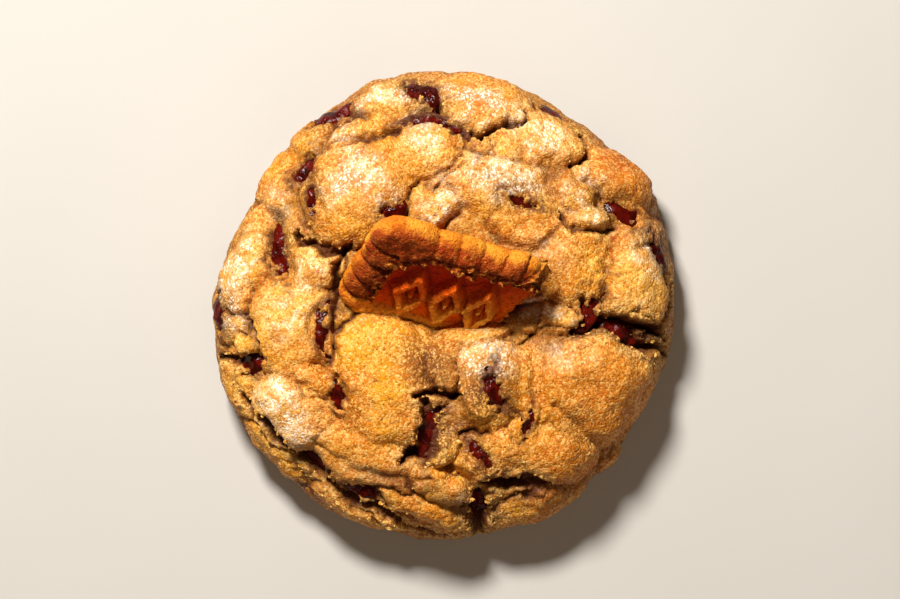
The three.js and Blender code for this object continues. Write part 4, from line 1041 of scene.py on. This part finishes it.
def setChocolate():
    # dark chocolate, melted in the oven and set: near-black red-brown with a soft gloss
    material, tree = newMaterial("setDarkChocolate")
    value = surfaceValues(tree, (), {"cloud": (2.6, 3.0, 0.6), "bloom": (0.5, 2.0, 0.6)})
    deriveValues(tree, value, {
        "clouded": ("cloud", 0.4, 0.65, 0, 1),
        "bloomed": ("bloom", 0.64, 0.76, 0, 0.25),
        "roughness": ("cloud", 0.35, 0.7, 0.1, 0.26),
    })
    height = addNode(tree, "ShaderNodeMath", {"operation": "MULTIPLY_ADD"}, {
        0: value["bloom"], 1: 0.7, 2: value["cloud"]})
    finishMaterial(tree, {
        "Base Color": layColours(tree, value, chocolate), "Roughness": value["roughness"],
        "IOR": 1.47, "Specular IOR Level": 0.14, "Coat Weight": 0.04, "Coat Roughness": 0.1,
    }, height, 0.55, 0.4)
    return material


caramel = {
    "ground": "#d06e0c", "lighter": "#f0982a", "fluteValleyShade": "#6e2406", "paintedFrontShade": "#8c1c02",
    "panelShadeAndGlow": ("#d01c04", "#ff7208", "paintedBounceGlow"), "raisedLitTops": ("#ff6a08", "#ffb038", "paintedBounceGlow"),
    "tornCrumb": "#f49c3c", "pores": "#5a1404", "pitShade": "#380a02", "specks": "#ee9838",
    "burntSpecks": "#7a2806",
}


def bakedBiscuit():
    # crisp caramelised biscuit: dry, dark orange-brown crumb with pale sugar specks at the torn lines
    material, tree = newMaterial("caramelBiscuitCrumb")
    value = surfaceValues(tree, ("panel", "torn", "ribTop", "raised", "frontShade", "paintedBounceGlow", "pit"), {
        "broad": (6.0, 3.0, 0.55), "crumb": (0.75, 3.0, 0.7)})
    cells = addNode(tree, "ShaderNodeTexVoronoi", None, {"Vector": value["place"], "Scale": 1000 / 0.4})
    parts = addNode(tree, "ShaderNodeSeparateColor", None, {"Color": cells.outputs["Color"]})
    value["speck"] = parts.outputs[0]
    offPanel = addNode(tree, "ShaderNodeMath", {"operation": "MULTIPLY_ADD"}, {
        0: value["panel"], 1: -0.8, 2: 1.0})
    value["offPanel"] = offPanel.outputs[0]
    deriveValues(tree, value, {
        "lighter": ("broad", 0.38, 0.64, 0, 1),
        # painted shade in the valleys between flutes
        "fluteValleyShade": ("ribTop", 0.45, 0.1, 0, 0.45),
        # painted shade on the front of the border
        "paintedFrontShade": ("frontShade", 0.92),
        # the panel painted deep red as in shade, turning orange with the painted bounce glow
        "panelShadeAndGlow": ("panel", 0.92),
        # painted light on the lozenges and the lip
        "raisedLitTops": ("raised", 0.95),
        "crumbTops": ("crumb", 0.42, 0.58, 0, 1),
        "tornCrumb": ("torn", "crumbTops"),
        # painted shade in pits and slots
        "pores": ("crumb", 0.45, 0.3, 0, 0.5),
        "pitShade": ("pit", 0.9),
        "someSpecks": ("speck", 0.8, 0.95, 0, 0.3),
        "specks": ("offPanel", "someSpecks"),
        "burntSpecks": ("speck", 0.16, 0.06, 0, 0.35),
        "roughness": ("crumb", 0.3, 0.7, 0.72, 0.5),
    })
    height = addNode(tree, "ShaderNodeMath", {"operation": "MULTIPLY_ADD"}, {
        0: cells.outputs["Distance"], 1: -0.4, 2: value["crumb"]})
    finishMaterial(tree, {
        "Base Color": layColours(tree, value, caramel), "Roughness": value["roughness"],
        "IOR": 1.45, "Specular IOR Level": 0.14,
        "Subsurface Weight": 0.08, "Subsurface Radius": (0.0016, 0.0007, 0.0003), "Subsurface Scale": 1.0,
    }, height, 1.0, 0.5)
    return material


def paleFloor():
    # matt painted board: an even, quiet ground
    material, tree = newMaterial("mattPaleBoard")
    value = surfaceValues(tree, (), {"cloud": (60.0, 2.0, 0.5)})
    colour = layColours(tree, value, {"ground": "#bdb9b2", "cloud": "#c4c0ba"})
    finishMaterial(tree, {"Base Color": colour, "Roughness": 0.85})
    return material


doughMaterial = bakedDough()
chocolateMaterial = setChocolate()
biscuitMaterial = bakedBiscuit()
print("materials done")

doughSurface, crumbChance = buildDough(doughMaterial)
print("dough done")
for number, chunk in enumerate(chunks, start=1):
    buildChunk(number, chunk, chocolateMaterial)
print("chocolate done")
buildBiscuit(biscuitMaterial)
print("biscuit done")
buildCrumbs(doughSurface, crumbChance, doughMaterial)
print("crumbs done")


# floor, lights and camera

studio = {
    "floorSize": 1.2, "air": 0.05,
    # turn and height in degrees, distance and size in metres, watts, colour
    "keyLight": (113, 52, 0.75, 0.16, 10.2, (1.0, 0.97, 0.92)),
    "fillLight": (-70, 55, 0.9, 0.6, 1.25, (1.0, 0.74, 0.5)),
}

floorBm = bmesh.new()
bmesh.ops.create_grid(floorBm, x_segments=1, y_segments=1, size=studio["floorSize"])
floorMesh = bpy.data.meshes.new("floor")
floorBm.to_mesh(floorMesh)
floorBm.free()
floorMesh.materials.append(paleFloor())
floor = bpy.data.objects.new("floor", floorMesh)
bpy.context.scene.collection.objects.link(floor)


def softLight(name, turn, height, distance, size, power, colour):
    data = bpy.data.lights.new(name, "AREA")
    data.shape = "DISK"
    data.size = size
    data.energy = power
    data.color = colour
    light = bpy.data.objects.new(name, data)
    bpy.context.scene.collection.objects.link(light)
    turn, height = math.radians(turn), math.radians(height)
    towards = Vector((math.cos(turn) * math.cos(height), math.sin(turn) * math.cos(height), math.sin(height)))
    light.location = towards * distance
    light.rotation_mode = "QUATERNION"
    light.rotation_quaternion = towards.to_track_quat("Z", "Y")


for name in ("keyLight", "fillLight"):
    softLight(name, *studio[name])

bpy.context.scene.view_settings.view_transform = "Standard"

world = bpy.data.worlds.new("studioAir")
bpy.context.scene.world = world
world.use_nodes = True
background = world.node_tree.nodes["Background"]
background.inputs["Color"].default_value = (1, 1, 1, 1)
background.inputs["Strength"].default_value = studio["air"]

# the photograph looks straight down; its frame is 900 by 599 and shows 0.2 mm with each pixel
view = {
    "distance": 1.6, "pixel": 0.2, "frameWidth": 900, "shift": (1.4, 1.2), "midHeight": 15.0, "sensor": 36.0,
}
cameraData = bpy.data.cameras.new("overheadCamera")
cameraData.sensor_width = view["sensor"]
seenWidth = view["pixel"] * view["frameWidth"] * mm
cameraData.lens = view["sensor"] * (view["distance"] - view["midHeight"] * mm) / seenWidth
cameraData.dof.use_dof = False
cameraData.clip_end = 10
camera = bpy.data.objects.new("overheadCamera", cameraData)
bpy.context.scene.collection.objects.link(camera)
camera.location = (view["shift"][0] * mm, view["shift"][1] * mm, view["distance"])
bpy.context.scene.camera = camera
print("floor, lights and camera done")
